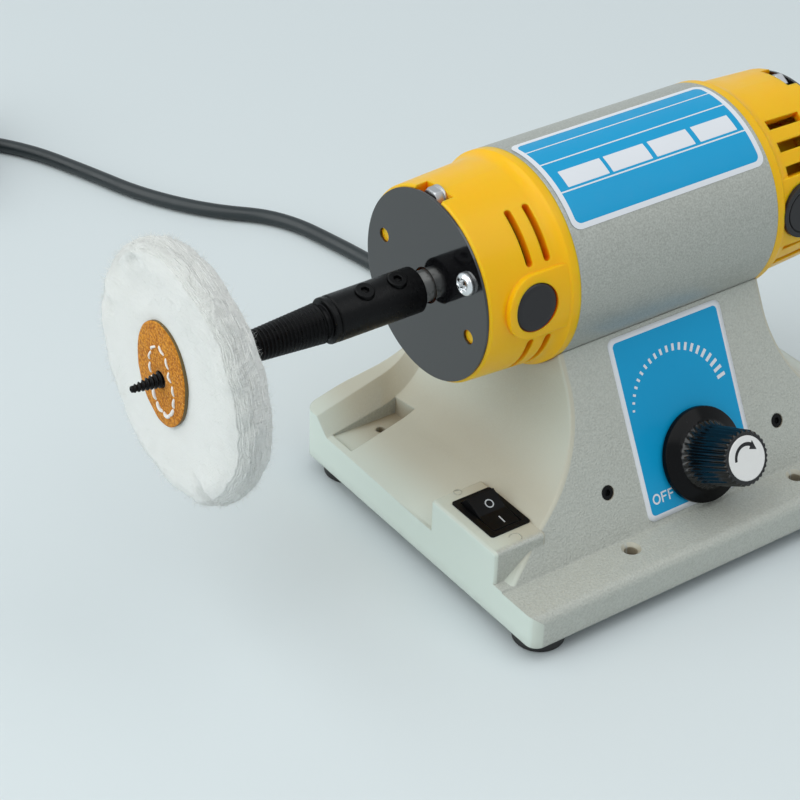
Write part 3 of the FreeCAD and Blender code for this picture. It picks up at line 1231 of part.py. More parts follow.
def cord_path(points):
    """Straight runs joined by tangent arcs, each as large as its two runs allow."""
    edges = []
    here = points[0]
    for before, corner, after in zip(points, points[1:], points[2:]):
        into = (corner - before).normalize()
        out = (after - corner).normalize()
        turn = into.getAngle(out)
        run = min((corner - before).Length, (after - corner).Length)
        reach = BEND_SHARE * run
        radius = reach / math.tan(turn / 2)
        start = corner - into * reach
        end = corner + out * reach
        inward = (out - into).normalize()
        middle = corner + inward * (radius / math.cos(turn / 2) - radius)
        edges.append(Part.LineSegment(here, start).toShape())
        edges.append(Part.Arc(start, middle, end).toShape())
        print("cord bend radius %.1f mm, turn %.0f degrees" % (radius, math.degrees(turn)))
        here = end
    edges.append(Part.LineSegment(here, points[-1]).toShape())
    return Part.Wire(edges)


def power_cord():
    path = cord_path([vec(*p) for p in CORD_ROUTE])
    start = vec(*CORD_ROUTE[0])
    heading = vec(*CORD_ROUTE[1]) - start
    section = Part.Wire([Part.makeCircle(CORD_R, start, heading)])
    tube = path.makePipeShell([section], True, False)
    expected = math.pi * CORD_R ** 2 * path.Length
    print("cord run %.1f mm, volume %.1f of %.1f mm3" % (path.Length, tube.Volume, expected))
    return tube


def cord_coil():
    low = COIL_R - COIL_WIDE / 2
    high = COIL_R + COIL_WIDE / 2
    r = COIL_EDGE_R
    bend = r * (1 - math.sqrt(0.5))
    z_low = COIL_LIFT
    z_high = COIL_LIFT + COIL_HIGH
    coil = turned_z((low, z_low + r), [(low + bend, z_low + bend, low + r, z_low), (high - r, z_low),
                                       (high - bend, z_low + bend, high, z_low + r), (high, z_high - r),
                                       (high - bend, z_high - bend, high - r, z_high), (low + r, z_high),
                                       (low + bend, z_high - bend, low, z_high - r)])
    return coil.translated(vec(COIL_X, COIL_Y, 0))


def on_coil(shape):
    """Puts the plug, modelled along +X with its middle on X = 0, on top of the coil."""
    copy = shape.copy()
    copy.rotate(ZERO, Z_AXIS, PLUG_HEADING)
    turn = math.radians(PLUG_ANGLE)
    copy.translate(vec(COIL_X + PLUG_RADIUS * math.cos(turn), COIL_Y + PLUG_RADIUS * math.sin(turn),
                       COIL_LIFT + COIL_HIGH))
    return copy


def plug_body():
    middle = PLUG_HEIGHT / 2
    start = -PLUG_BODY / 2
    sections = []
    for along, across in PLUG_SHAPE:
        x = start + PLUG_BODY * along
        half = PLUG_WIDTH * across / 2
        inner = half - PLUG_BEVEL
        steps = [(inner, 0), (half, middle), (inner, PLUG_HEIGHT), (-inner, PLUG_HEIGHT), (-half, middle)]
        sections.append(wire_of((-inner, 0), steps, lambda y, z, x=x: vec(x, y, z)))
    body = Part.makeLoft(sections, True, True)
    tail = Part.makeCone(CORD_R + PLUG_TAIL_WALL, PLUG_TAIL_R, PLUG_TAIL, vec(start - PLUG_TAIL, 0, middle),
                         X_AXIS)
    return on_coil(fused([body, tail]))


def plug_pins():
    start = PLUG_BODY / 2
    middle = PLUG_HEIGHT / 2
    pins = []
    for side in (-1, 1):
        y = side * PIN_SPACING / 2
        tip = start + PIN_LENGTH
        pin = fused([rod(PIN_R, vec(start, y, middle), vec(tip - PIN_R, y, middle)),
                     Part.makeSphere(PIN_R, vec(tip - PIN_R, y, middle))])
        pins.append(on_coil(pin))
    return group(pins)


# ---- export ---------------------------------------------------------------------------------------------
def knob_front():
    """The knob's foremost Y, which is also the machine's."""
    edge_r = KNOB_FRONT_R - KNOB_EDGE
    return panel_y(CONTROL_HEIGHT) - KNOB_LENGTH * math.cos(TILT) - edge_r * math.sin(TILT)


FRONT_Y = min(-BASE_FRONT, knob_front())
ORIGIN_SHIFT = vec((TIP_X - SHAFT_RIGHT_END) / 2, -(BASE_BACK + FRONT_Y) / 2, 0)

PIECES = {
    "base_casting": base_casting,
    "bottom_cover": bottom_cover,
    "rubber_feet": feet,
    "foot_screws": foot_screws,
    "panel_label": panel_label,
    "panel_screws": panel_screws,
    "control_bracket": control_bracket,
    "control_pot": control_pot,
    "control_nut": control_nut,
    "speed_board": speed_board,
    "speed_knob": knob,
    "knob_cap": knob_cap,
    "control_shaft": control_shaft,
    "switch_housing": switch_housing,
    "switch_terminals": switch_terminals,
    "switch_rocker": switch_rocker,
    "motor_shell": motor_shell,
    "motor_label": motor_label,
    "left_end_cap": left_end_cap,
    "right_end_cap": right_end_cap,
    "left_end_plate": lambda: end_plate(-CAP_LEFT_END, -1),
    "right_end_plate": lambda: end_plate(CAP_RIGHT_END, 1),
    "end_plate_screws": end_plate_screws,
    "tie_bolts": tie_bolts,
    "tie_nuts": tie_nuts,
    "port_plugs": port_plugs,
    "brush_holders": brush_holders,
    "carbon_brushes": carbon_brushes,
    "brush_springs": brush_springs,
    "brush_caps": brush_caps,
    "stator_core": stator_core,
    "field_coils": field_coils,
    "motor_screws": motor_screws,
    "bearing_outer_rings": bearing_outer_rings,
    "bearing_inner_rings": bearing_inner_rings,
    "armature_shaft": armature_shaft,
    "armature_core": armature_core,
    "armature_winding": armature_winding,
    "commutator": commutator,
    "cooling_fan": cooling_fan,
    "coupling_sleeve": coupling_sleeve,
    "set_screws": set_screws,
    "screw_mandrel": screw_mandrel,
    "buffing_wheel": buffing_wheel,
    "leather_discs": leather_discs,
    "strain_relief": strain_relief,
    "power_cord": power_cord,
    "cord_coil": cord_coil,
    "plug_body": plug_body,
    "plug_pins": plug_pins,
}

os.makedirs("parts", exist_ok=True)
for name, make in PIECES.items():
    shape = make()
    shape.translate(ORIGIN_SHIFT)
    shape.exportStep("parts/" + name + ".step")
    print("%-20s solids %d valid %s volume %.0f" % (name, len(shape.Solids), shape.isValid(), shape.Volume))
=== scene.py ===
"""Looks of the polishing lathe: finishes, printed films, cloth wheel, threaded mandrel and cord."""

import math
import random

import bpy
from mathutils import Matrix, Vector, noise


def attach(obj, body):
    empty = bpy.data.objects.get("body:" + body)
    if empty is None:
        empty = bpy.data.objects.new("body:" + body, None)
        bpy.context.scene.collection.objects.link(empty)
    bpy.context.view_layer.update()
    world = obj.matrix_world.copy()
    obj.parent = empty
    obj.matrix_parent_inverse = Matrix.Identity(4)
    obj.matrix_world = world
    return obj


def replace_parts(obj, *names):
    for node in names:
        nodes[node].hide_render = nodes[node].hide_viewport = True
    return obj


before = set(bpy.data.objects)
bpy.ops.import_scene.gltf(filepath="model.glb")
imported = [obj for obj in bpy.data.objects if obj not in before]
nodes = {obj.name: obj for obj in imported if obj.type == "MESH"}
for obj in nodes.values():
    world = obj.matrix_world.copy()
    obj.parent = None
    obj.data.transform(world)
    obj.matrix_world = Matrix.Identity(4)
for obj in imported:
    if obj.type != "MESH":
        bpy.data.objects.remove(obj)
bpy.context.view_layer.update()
random.seed(7)

# ---- places ----
# Millimetres from the middle of the motor, on its axis line, to the frame in metres.
SHIFT = Vector((43.25, 11.4165, 0))
AXIS_Z = 94.3
ALONG = Vector((1, 0, 0))
BACK = Vector((0, 1, 0))
UP = Vector((0, 0, 1))


def at(x, y, z):
    return (Vector((x, y, z)) + SHIFT) / 1000


def about_axis(x, radius, turn):
    """Point about the motor axis; the angle in radians goes up from the front (-Y)."""
    return at(x, -radius * math.cos(turn), AXIS_Z + radius * math.sin(turn))


def around(x, radius, angle):
    """The same, with the angle in degrees."""
    return about_axis(x, radius, math.radians(angle))


def placed(origin, x, y, z):
    """Matrix that carries the three axes to the given directions and zero to the origin."""
    return Matrix.Translation(origin) @ Matrix((x, y, z)).transposed().to_4x4()


def facing(place, out):
    """Matrix that puts a piece's Z axis along a direction, at a place."""
    return Matrix.Translation(place) @ out.to_track_quat("Z", "Y").to_matrix().to_4x4()


def smooth_step(low, high, value):
    share = min(max((value - low) / (high - low), 0), 1)
    return share * share * (3 - 2 * share)


def turns(steps):
    """Even steps round a circle, in radians."""
    return [2 * math.pi * k / steps for k in range(steps)]


def polar(radius, turn, height=0):
    return Vector((radius * math.cos(turn), radius * math.sin(turn), height))


def rings(profile, steps, point=polar):
    """Rows of points round the Z axis; point(radius, turn, height) gives each of them."""
    return [[point(radius, turn, height) for turn in turns(steps)] for radius, height in profile]


def rounded_ring(wide, high, power, steps):
    """Pairs across and up from the middle of a rounded box; a lower power makes it squarer."""
    pairs = []
    for turn in turns(steps):
        c, s = math.cos(turn), math.sin(turn)
        pairs.append((wide * math.copysign(abs(c) ** power, c), high * math.copysign(abs(s) ** power, s)))
    return pairs


def in_scene(name, data):
    """New object of the data, in the scene."""
    obj = bpy.data.objects.new(name, data)
    bpy.context.collection.objects.link(obj)
    return obj


def round_noise(turn, scale, level):
    """Smooth noise round a circle, with more bumps for a larger scale; levels differ from each other."""
    return noise.noise(polar(scale, turn, level))


# ---- camera ----
CAMERA_AT = Vector((-0.39602, -0.47299, 0.47066))
CAMERA_RIGHT = Vector((0.81433, -0.57977, 0.02712))
CAMERA_UP = Vector((0.31099, 0.4753, 0.82302))
CAMERA_LENS = 106.62
SENSOR_WIDTH = 36


def add_camera():
    data = bpy.data.cameras.new("camera")
    data.lens = CAMERA_LENS
    data.sensor_width = SENSOR_WIDTH
    camera = in_scene("camera", data)
    camera.matrix_world = placed(CAMERA_AT, CAMERA_RIGHT, CAMERA_UP, CAMERA_RIGHT.cross(CAMERA_UP))
    bpy.context.scene.camera = camera


add_camera()


# ---- mesh helper ----
class Shape:
    """Vertices and faces of a piece that is put together from several forms."""

    def __init__(self):
        self.verts = []
        self.faces = []

    def grid(self, rows, closed=True, ends=False):
        """Quads between rows of points; closed joins a row's end to its start, ends are flat faces."""
        first = len(self.verts)
        columns = len(rows[0])
        for row in rows:
            self.verts.extend(row)
        for i in range(len(rows) - 1):
            for j in range(columns if closed else columns - 1):
                a = first + i * columns + j
                b = first + i * columns + (j + 1) % columns
                self.faces.append((a, b, b + columns, a + columns))
        if ends:
            self.faces.append(tuple(range(first + columns - 1, first - 1, -1)))
            self.faces.append(tuple(range(len(self.verts) - columns, len(self.verts))))

    def set_in(self, place, rows, ends=False):
        """Grid of rows in mm, carried to the place of a matrix."""
        self.grid([[place @ (point / 1000) for point in row] for row in rows], ends=ends)

    def tube(self, points, radius, sides):
        """Round tube along points; radius is a number or one number for each point."""
        radii = radius if hasattr(radius, "__len__") else [radius] * len(points)
        rows = []
        side = None
        for i, point in enumerate(points):
            ahead = points[min(i + 1, len(points) - 1)] - points[max(i - 1, 0)]
            ahead.normalize()
            if side is None:
                side = ahead.orthogonal().normalized()
            side = (side - ahead * side.dot(ahead)).normalized()
            other = ahead.cross(side)
            rows.append([point + (side * math.cos(t) + other * math.sin(t)) * radii[i]
                         for t in turns(sides)])
        self.grid(rows, ends=True)

    def object(self, name, material):
        """Smooth mesh object in the scene."""
        mesh = bpy.data.meshes.new(name)
        mesh.from_pydata([tuple(v) for v in self.verts], [], self.faces)
        mesh.validate()
        mesh.polygons.foreach_set("use_smooth", [True] * len(mesh.polygons))
        mesh.materials.append(material)
        mesh.update()
        return in_scene(name, mesh)

    def piece(self, name, body, material, sharp=None):
        """Object that rides on a body, crisp where its faces meet at more than sharp degrees."""
        obj = self.object(name, material)
        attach(obj, body)
        if sharp:
            obj.data.set_sharp_from_angle(angle=math.radians(sharp))
        return obj


# ---- materials ----
def srgb(red, green, blue):
    """Linear colour from 8-bit values."""
    parts = []
    for value in (red, green, blue):
        share = value / 255
        parts.append(share / 12.92 if share <= 0.04045 else ((share + 0.055) / 1.055) ** 2.4)
    return (*parts, 1)


def add_node(tree, kind, links=None, **settings):
    """Adds a node; settings are its properties, links its inputs as values or sockets."""
    node = tree.nodes.new(kind)
    for key, value in settings.items():
        setattr(node, key, value)
    for key, value in (links or {}).items():
        if isinstance(value, bpy.types.NodeSocket):
            tree.links.new(value, node.inputs[key])
        else:
            node.inputs[key].default_value = value
    return node


NOISE_SPAN = (0.3, 0.7)  # most values of a noise lie between these


class Finish:
    """Node material around a Principled shader. Coordinates are the object's own, in metres."""

    def __init__(self, name, **values):
        self.material = bpy.data.materials.new(name)
        self.material.use_nodes = True
        self.tree = self.material.node_tree
        self.shader = self.tree.nodes["Principled BSDF"]
        for key, value in values.items():
            self.shader.inputs[key.replace("_", " ")].default_value = value
        self.place = self.add("ShaderNodeTexCoord").outputs["Object"]
        self.heights = []

    def add(self, kind, links=None, **settings):
        return add_node(self.tree, kind, links, **settings)

    def math(self, operation, first, second=0):
        return self.add("ShaderNodeMath", {0: first, 1: second}, operation=operation).outputs[0]

    def times(self, first, second):
        return self.math("MULTIPLY", first, second)

    def noise(self, scale, detail=3, place=None, roughness=0.5):
        links = {"Vector": place or self.place, "Scale": scale, "Detail": detail, "Roughness": roughness}
        return self.add("ShaderNodeTexNoise", links).outputs["Fac"]

    def wave(self, scale, direction, distortion, detail_scale=1):
        links = {"Vector": self.place, "Scale": scale, "Distortion": distortion,
                 "Detail Scale": detail_scale}
        return self.add("ShaderNodeTexWave", links, bands_direction=direction).outputs["Fac"]

    def ramp(self, value, low, high, start=0, end=1):
        """Number between start and end as the value goes from low to high."""
        links = {"Value": value, "From Min": low, "From Max": high, "To Min": start, "To Max": end}
        return self.add("ShaderNodeMapRange", links, interpolation_type="SMOOTHSTEP").outputs["Result"]

    def mix(self, share, first, second):
        """Colour between two colours, as the share goes from 0 to 1."""
        return self.add("ShaderNodeMix", {0: share, 6: first, 7: second}, data_type="RGBA").outputs[2]

    def axis(self, name, vector=None):
        return self.add("ShaderNodeSeparateXYZ", {"Vector": vector or self.place}).outputs[name]

    def normal(self, name):
        """How far the surface faces along an axis, from -1 to 1."""
        return self.axis(name, self.add("ShaderNodeNewGeometry").outputs["Normal"])

    def endwise(self):
        """How far the surface faces either way along the motor, from 0 to 1."""
        return self.math("ABSOLUTE", self.normal("X"))

    def openness(self, distance):
        """1 in the open, less where other surfaces close in within the distance."""
        return self.add("ShaderNodeAmbientOcclusion", {"Distance": distance}, samples=8).outputs["AO"]

    def stretched(self, x, y, z):
        """Coordinates scaled along each axis, for grain that runs one way."""
        return self.add("ShaderNodeMapping", {"Vector": self.place, "Scale": (x, y, z)}).outputs["Vector"]

    def colour(self, share, first, second):
        self.tree.links.new(self.mix(share, first, second), self.shader.inputs["Base Color"])

    def roughness(self, value):
        self.tree.links.new(value, self.shader.inputs["Roughness"])

    def gloss(self, scale, detail, low, high):
        """Roughness that drifts between two values."""
        self.roughness(self.ramp(self.noise(scale, detail), *NOISE_SPAN, low, high))

    def height(self, value, distance):
        """Adds relief; the distance in metres is the relief's full height."""
        self.heights.append((value, distance))

    def done(self, edge=None):
        """Joins the relief to the shader, with edges rounded to the radius in metres."""
        normal = None
        if edge:
            normal = self.add("ShaderNodeBevel", {"Radius": edge}, samples=6).outputs["Normal"]
        for value, distance in self.heights:
            links = {"Height": value, "Distance": distance, "Strength": 1}
            if normal is not None:
                links["Normal"] = normal
            normal = self.add("ShaderNodeBump", links).outputs["Normal"]
        if normal is not None:
            self.tree.links.new(normal, self.shader.inputs["Normal"])
        return self.material


def even_finish(name, dark, light, rough=(0.35, 0.5), grain=900, relief=0.00002, edge=None, **values):
    """Finish with slight mottling, uneven gloss and fine relief."""
    finish = Finish(name, **values)
    finish.colour(finish.noise(60), dark, light)
    finish.gloss(140, 4, *rough)
    finish.height(finish.noise(grain, 2), relief)
    return finish.done(edge)


BASE_MIDDLE_X = SHIFT.x / 1000
# Distances either way from that middle, in metres, over which the smooth enamel's painted light and painted
# shade change.
LIT_UPRIGHT_BLEND = (0.048, 0.066)
SHADE_BLEND = (0.062, 0.076)
LIT_OUTER_BLEND = (0.066, 0.082)
SHADE_REACH = 0.07
HAMMERED_FRONT_Y = (-0.0405, -0.0385)  # the hammered coat ends between these, from the front
# Heights in metres over which the enamel turns darker in patches towards the bottom.
LOW_DARKENING_TOP_Z = (0.006, 0.01)


def smooth_enamel_painted_light(finish, endwise, off_centre):
    """Colour of the smooth enamel: greenish at the ends as painted key light, warm grey in the scoops as a
    painted bounce from the yellow caps, and painted shade in their corners under the motor.
    """
    patches = finish.noise(18)
    # Painted bounce light: warm grey for the light the yellow caps throw into the scoops.
    scoops = finish.mix(patches, srgb(185, 183, 167), srgb(193, 192, 177))
    # Painted light: cool green-white for the key light falling on the ends.
    ends = finish.mix(patches, srgb(208, 220, 211), srgb(214, 225, 217))
    # Masks that give the painted lit colour to the outer ends and to walls facing along the motor.
    outer = finish.times(finish.ramp(off_centre, *LIT_OUTER_BLEND), 0.7)
    lit_upright = finish.times(finish.ramp(endwise, 0.6, 0.95),
                           finish.ramp(off_centre, *LIT_UPRIGHT_BLEND, 0.5, 1))
    smooth = finish.mix(finish.math("MAXIMUM", lit_upright, outer), scoops, ends)
    # Painted shade: darker and browner where surfaces close in under the motor, not at the ends.
    shaded = finish.times(finish.ramp(finish.openness(SHADE_REACH), 0.3, 0.72, 1, 0),
                          finish.ramp(off_centre, *SHADE_BLEND, 1, 0))
    return finish.mix(shaded, smooth, srgb(160, 150, 130))


def base_paint():
    """Light enamel: hammered on the front and the ledge, smooth in the scoops and at the ends, with painted
    light and painted shade on the smooth parts.
    """
    finish = Finish("enamel_hammered", Specular_IOR_Level=0.36, Coat_Weight=0.22, Coat_Roughness=0.15)
    endwise = finish.endwise()
    flat = finish.ramp(endwise, 0.06, 0.2, 1, 0)
    ahead = finish.ramp(finish.axis("Y"), *HAMMERED_FRONT_Y, 1, 0)
    sloped = finish.ramp(finish.normal("Y"), -0.5, -0.3, 1, 0)
    hammered = finish.times(flat, finish.math("MAXIMUM", ahead, sloped))
    dimples = finish.noise(1500, 2)
    cells = finish.add("ShaderNodeTexVoronoi", {"Vector": finish.place, "Scale": 1500},
                       feature="SMOOTH_F1").outputs["Distance"]
    grain = finish.math("ADD", finish.times(cells, 0.5), dimples)
    finish.height(finish.times(grain, hammered), 0.0003)
    finish.height(finish.noise(260), 0.00004)
    off_centre = finish.math("ABSOLUTE", finish.math("SUBTRACT", finish.axis("X"), BASE_MIDDLE_X))
    grainy = finish.mix(finish.ramp(dimples, *NOISE_SPAN), srgb(178, 181, 173), srgb(191, 194, 186))
    clean = finish.mix(hammered, smooth_enamel_painted_light(finish, endwise, off_centre), grainy)
    # Darker in patches towards the bottom edge.
    low_darkening = finish.times(finish.ramp(finish.axis("Z"), *LOW_DARKENING_TOP_Z, 1, 0), finish.noise(300, 5))
    finish.colour(finish.times(low_darkening, 0.35), clean, srgb(150, 150, 143))
    finish.gloss(70, 3, 0.36, 0.5)
    return finish.done(0.0009)


def motor_paint():
    """Silver hammered paint on the motor's tube."""
    finish = Finish("silver_hammered", Metallic=0.55, Specular_IOR_Level=0.5, Coat_Weight=0.3,
                    Coat_Roughness=0.3)
    dimples = finish.noise(1700, 2)
    finish.height(dimples, 0.0001)
    finish.height(finish.noise(700, 2), 0.00003)
    finish.colour(finish.ramp(dimples, 0.2, 0.8), srgb(159, 161, 154), srgb(186, 188, 181))
    finish.gloss(240, 4, 0.52, 0.62)
    return finish.done(0.0004)


def cap_plastic():
    """Orange-yellow moulded plastic, deeper orange as a painted glow in the shade of its slots."""
    finish = Finish("moulded_yellow", Specular_IOR_Level=0.24, Subsurface_Weight=0.5,
                    Subsurface_Scale=0.004, Subsurface_Radius=(1, 0.45, 0.06), Coat_Weight=0.08,
                    Coat_Roughness=0.08)
    body = finish.mix(finish.noise(45, 4), srgb(246, 184, 5), srgb(250, 192, 10))
    # Painted light: deep orange where surfaces close in, for light glowing through the plastic in the
    # slots.
    finish.colour(finish.ramp(finish.openness(0.004), 0.3, 0.72), srgb(255, 120, 0), body)
    finish.gloss(110, 4, 0.3, 0.42)
    finish.height(finish.noise(620, 2), 0.00003)
    return finish.done(0.0007)


def worn_steel():
    """Turned shaft steel with fine rings and dark stains."""
    finish = Finish("turned_shaft", Metallic=1)
    stains = finish.noise(300, 4)
    finish.colour(finish.ramp(stains, 0.3, 0.5), srgb(108, 106, 104), srgb(190, 189, 187))
    finish.roughness(finish.ramp(stains, 0.3, 0.6, 0.5, 0.34))
    finish.height(finish.noise(2600, 2, finish.stretched(1, 0.02, 0.02)), 0.00002)
    return finish.done(0.0003)


def black_oxide():
    """Oiled black steel: lathe rings, small pits, bare metal rubbed through in places."""
    finish = Finish("black_oxide", Specular_IOR_Level=0.14)
    pits = finish.noise(900, 4)
    rubbed = finish.ramp(finish.noise(520, 6, roughness=0.7), 0.66, 0.74)
    body = finish.mix(pits, (0.002, 0.002, 0.0023, 1), (0.004, 0.004, 0.0044, 1))
    finish.colour(finish.times(rubbed, 0.2), body, (0.06, 0.058, 0.055, 1))
    finish.roughness(finish.ramp(pits, *NOISE_SPAN, 0.26, 0.42))
    finish.height(finish.noise(3200, 2, finish.stretched(1, 0.03, 0.03)), 0.00003)
    finish.height(pits, 0.00003)
    return finish.done(0.0003)


def gloss_black(name, rough, shade, gloss):
    """Black enamel or moulding with faint specks in it."""
    finish = Finish(name, Specular_IOR_Level=gloss, IOR=1.5)
    specks = finish.ramp(finish.noise(1500), 0.68, 0.78)
    finish.colour(specks, (shade, shade, shade * 1.15, 1), (0.03, 0.03, 0.032, 1))
    finish.gloss(160, 4, *rough)
    finish.height(finish.noise(380), 0.000012)
    return finish.done(0.0003)


def cloth():
    """White muslin: plain weave, soft slubs, a napped surface that light gets into, a rim painted paler as
    painted light.
    """
    finish = Finish("muslin", Roughness=0.95, Specular_IOR_Level=0.1, Sheen_Weight=0.5,
                    Sheen_Roughness=0.5, Subsurface_Weight=0.3, Subsurface_Scale=0.003,
                    Subsurface_Radius=(1, 0.97, 0.9))
    weave = [finish.wave(310, direction, 2, 60) for direction in ("Y", "Z")]
    finish.height(finish.math("ADD", *weave), 0.00005)
    finish.height(finish.noise(500, 6, roughness=0.7), 0.00025)
    face = finish.mix(finish.noise(60, 4), srgb(241, 243, 237), srgb(250, 251, 247))
    # Painted light: surfaces facing outward round the rim are painted paler.
    finish.colour(finish.ramp(finish.endwise(), 0.3, 0.75, 1, 0), face, srgb(250, 252, 248))
    return finish.done()


def leather():
    """Golden-brown split leather with a coarse suede nap and a darker cut edge."""
    finish = Finish("split_leather", Roughness=0.9, Specular_IOR_Level=0.15, Sheen_Weight=0.15,
                    Sheen_Roughness=0.4)
    nap = finish.noise(1200, roughness=0.6)
    specks = finish.ramp(finish.noise(1900, 2), 0.62, 0.72)
    patches = finish.noise(170, 5)
    fine = finish.mix(finish.ramp(nap, 0.35, 0.65), srgb(146, 78, 10), srgb(224, 152, 44))
    fine = finish.mix(specks, fine, srgb(246, 202, 118))
    worn = finish.mix(finish.ramp(patches, 0.4, 0.7), srgb(188, 112, 26), srgb(206, 138, 48))
    cut = finish.ramp(finish.endwise(), 0.35, 0.7, 1, 0)
    finish.colour(cut, finish.mix(0.3, fine, worn), srgb(112, 96, 66))
    finish.height(nap, 0.00025)
    finish.height(patches, 0.0001)
    return finish.done()


def printed(name, first, second):
    """Printed film: even ink with a faint orange peel."""
    finish = Finish(name, Specular_IOR_Level=0.25, Coat_Weight=0.03, Coat_Roughness=0.15)
    finish.colour(finish.noise(30), first, second)
    finish.gloss(200, 3, 0.28, 0.4)
    finish.height(finish.noise(500, 2), 0.00001)
    return finish.done()


def wound_copper():
    """Enamelled wire wound side by side."""
    finish = Finish("wound_copper", Metallic=0.9)
    wires = finish.wave(420, "DIAGONAL", 0.6)
    finish.colour(wires, srgb(120, 54, 22), srgb(206, 120, 66))
    finish.gloss(300, 3, 0.3, 0.45)
    finish.height(wires, 0.0002)
    return finish.done()


def circuit_board():
    """Green board with a grid of raised tracks."""
    finish = Finish("board_green", Specular_IOR_Level=0.5)
    tracks = finish.add("ShaderNodeTexBrick", {"Vector": finish.place, "Scale": 260,
                                               "Mortar Size": 0.03}).outputs["Fac"]
    finish.colour(tracks, srgb(26, 92, 48), srgb(58, 132, 74))
    finish.gloss(300, 3, 0.3, 0.45)
    finish.height(tracks, 0.00004)
    return finish.done()


ENAMEL = base_paint()
SILVER = motor_paint()
YELLOW = cap_plastic()
SHAFT_STEEL = worn_steel()
OXIDE = black_oxide()
PLATE_BLACK = gloss_black("enamel_black", (0.06, 0.1), 0.006, 0.92)
KNOB_BLACK = gloss_black("moulded_black", (0.08, 0.14), 0.003, 0.5)
SKIRT_BLACK = gloss_black("moulded_skirt", (0.12, 0.2), 0.003, 0.12)
SWITCH_BLACK = gloss_black("moulded_switch", (0.3, 0.4), 0.004, 0.09)
CLOTH = cloth()
LEATHER = leather()
BLUE = printed("ink_blue", srgb(8, 152, 204), srgb(14, 160, 212))
WHITE_INK = printed("ink_white", srgb(222, 226, 232), srgb(230, 233, 238))
GREY_INK = printed("ink_grey", srgb(178, 184, 190), srgb(188, 194, 199))
BLACK_INK = printed("ink_black", (0.012, 0.012, 0.014, 1), (0.02, 0.02, 0.022, 1))
THREAD = even_finish("cotton_thread", srgb(232, 230, 224), srgb(246, 245, 241), (0.8, 0.95),
                     grain=3000, relief=0.0001)
WHITE_PLASTIC = even_finish("moulded_white", srgb(226, 226, 224), srgb(236, 236, 234), (0.3, 0.42))
CHARCOAL = even_finish("moulded_charcoal", (0.014, 0.013, 0.015, 1), (0.021, 0.02, 0.022, 1),
                       (0.28, 0.4), edge=0.0005, Specular_IOR_Level=0.32)
RUBBER = even_finish("black_rubber", (0.012, 0.012, 0.012, 1), (0.022, 0.022, 0.022, 1), (0.6, 0.8),
                     grain=1500, relief=0.00006, edge=0.0005)
CORD_VINYL = even_finish("cord_vinyl", (0.011, 0.016, 0.018, 1), (0.016, 0.023, 0.026, 1), (0.3, 0.42))
CHROME = even_finish("bright_chrome", (0.72, 0.73, 0.75, 1), (0.86, 0.87, 0.88, 1), (0.12, 0.26),
                     grain=700, edge=0.0002, Metallic=1)
STEEL = even_finish("zinc_steel", (0.42, 0.42, 0.43, 1), (0.6, 0.6, 0.61, 1), (0.28, 0.42),
                    edge=0.0003, Metallic=1)
BRASS = even_finish("plated_brass", (0.62, 0.47, 0.22, 1), (0.76, 0.6, 0.32, 1), (0.2, 0.32),
                    Metallic=1)
COPPER = wound_copper()
BOARD = circuit_board()
CARBON = even_finish("pressed_carbon", (0.02, 0.02, 0.021, 1), (0.045, 0.045, 0.046, 1), (0.5, 0.7))

NODE_MATERIALS = [
    (ENAMEL, ["base_casting"]),
    (SILVER, ["motor_shell"]),
    (YELLOW, ["left_end_cap", "right_end_cap"]),
    (BLUE, ["panel_label", "motor_label"]),
    (PLATE_BLACK, ["left_end_plate", "right_end_plate"]),
    (KNOB_BLACK, ["speed_knob"]),
    (SWITCH_BLACK, ["switch_housing", "switch_rocker"]),
    (WHITE_PLASTIC, ["knob_cap"]),
    (CHARCOAL, ["port_plugs", "brush_caps", "plug_body", "cooling_fan"]),
    (RUBBER, ["rubber_feet", "strain_relief"]),
    (CORD_VINYL, ["power_cord", "cord_coil"]),
    (CLOTH, ["buffing_wheel"]),
    (LEATHER, ["leather_discs"]),
    (SHAFT_STEEL, ["armature_shaft"]),
    (OXIDE, ["panel_screws", "coupling_sleeve", "set_screws", "screw_mandrel"]),
    (CHROME, ["end_plate_screws", "tie_bolts"]),
    (STEEL, ["bottom_cover", "foot_screws", "control_bracket", "control_pot", "control_nut",
             "control_shaft", "tie_nuts", "brush_springs", "stator_core", "motor_screws",
             "bearing_outer_rings", "bearing_inner_rings", "armature_core"]),
    (BRASS, ["switch_terminals", "brush_holders", "plug_pins"]),
    (COPPER, ["field_coils", "armature_winding", "commutator"]),
    (CARBON, ["carbon_brushes"]),
    (BOARD, ["speed_board"]),
]
for material, names in NODE_MATERIALS:
    for name in names:
        nodes[name].data.materials.clear()
        nodes[name].data.materials.append(material)


# ---- power cord ----
# Control points of the cord's line in metres: out of the strain relief, down to the bench and
# away to the back left, then into a coil of about five and a half turns.
CORD_RADIUS = 0.0028
CORD_EXIT = (0.05325, 0.0904165, 0.016)
CORD_POINTS = [
    CORD_EXIT, (0.05325, 0.1054165, 0.016), (0.05385, 0.1244165, 0.0084), (0.05375, 0.1434165, 0.003),
    (0.04975, 0.1684165, 0.003), (0.04225, 0.2004165, 0.003), (0.02125, 0.2194165, 0.003),
    (0.00525, 0.2449165, 0.003), (-0.00375, 0.2724165, 0.003), (-0.01525, 0.3029165, 0.003),
    (-0.03525, 0.3274165, 0.003),
]
COIL_AT = at(-119, 305, 0)
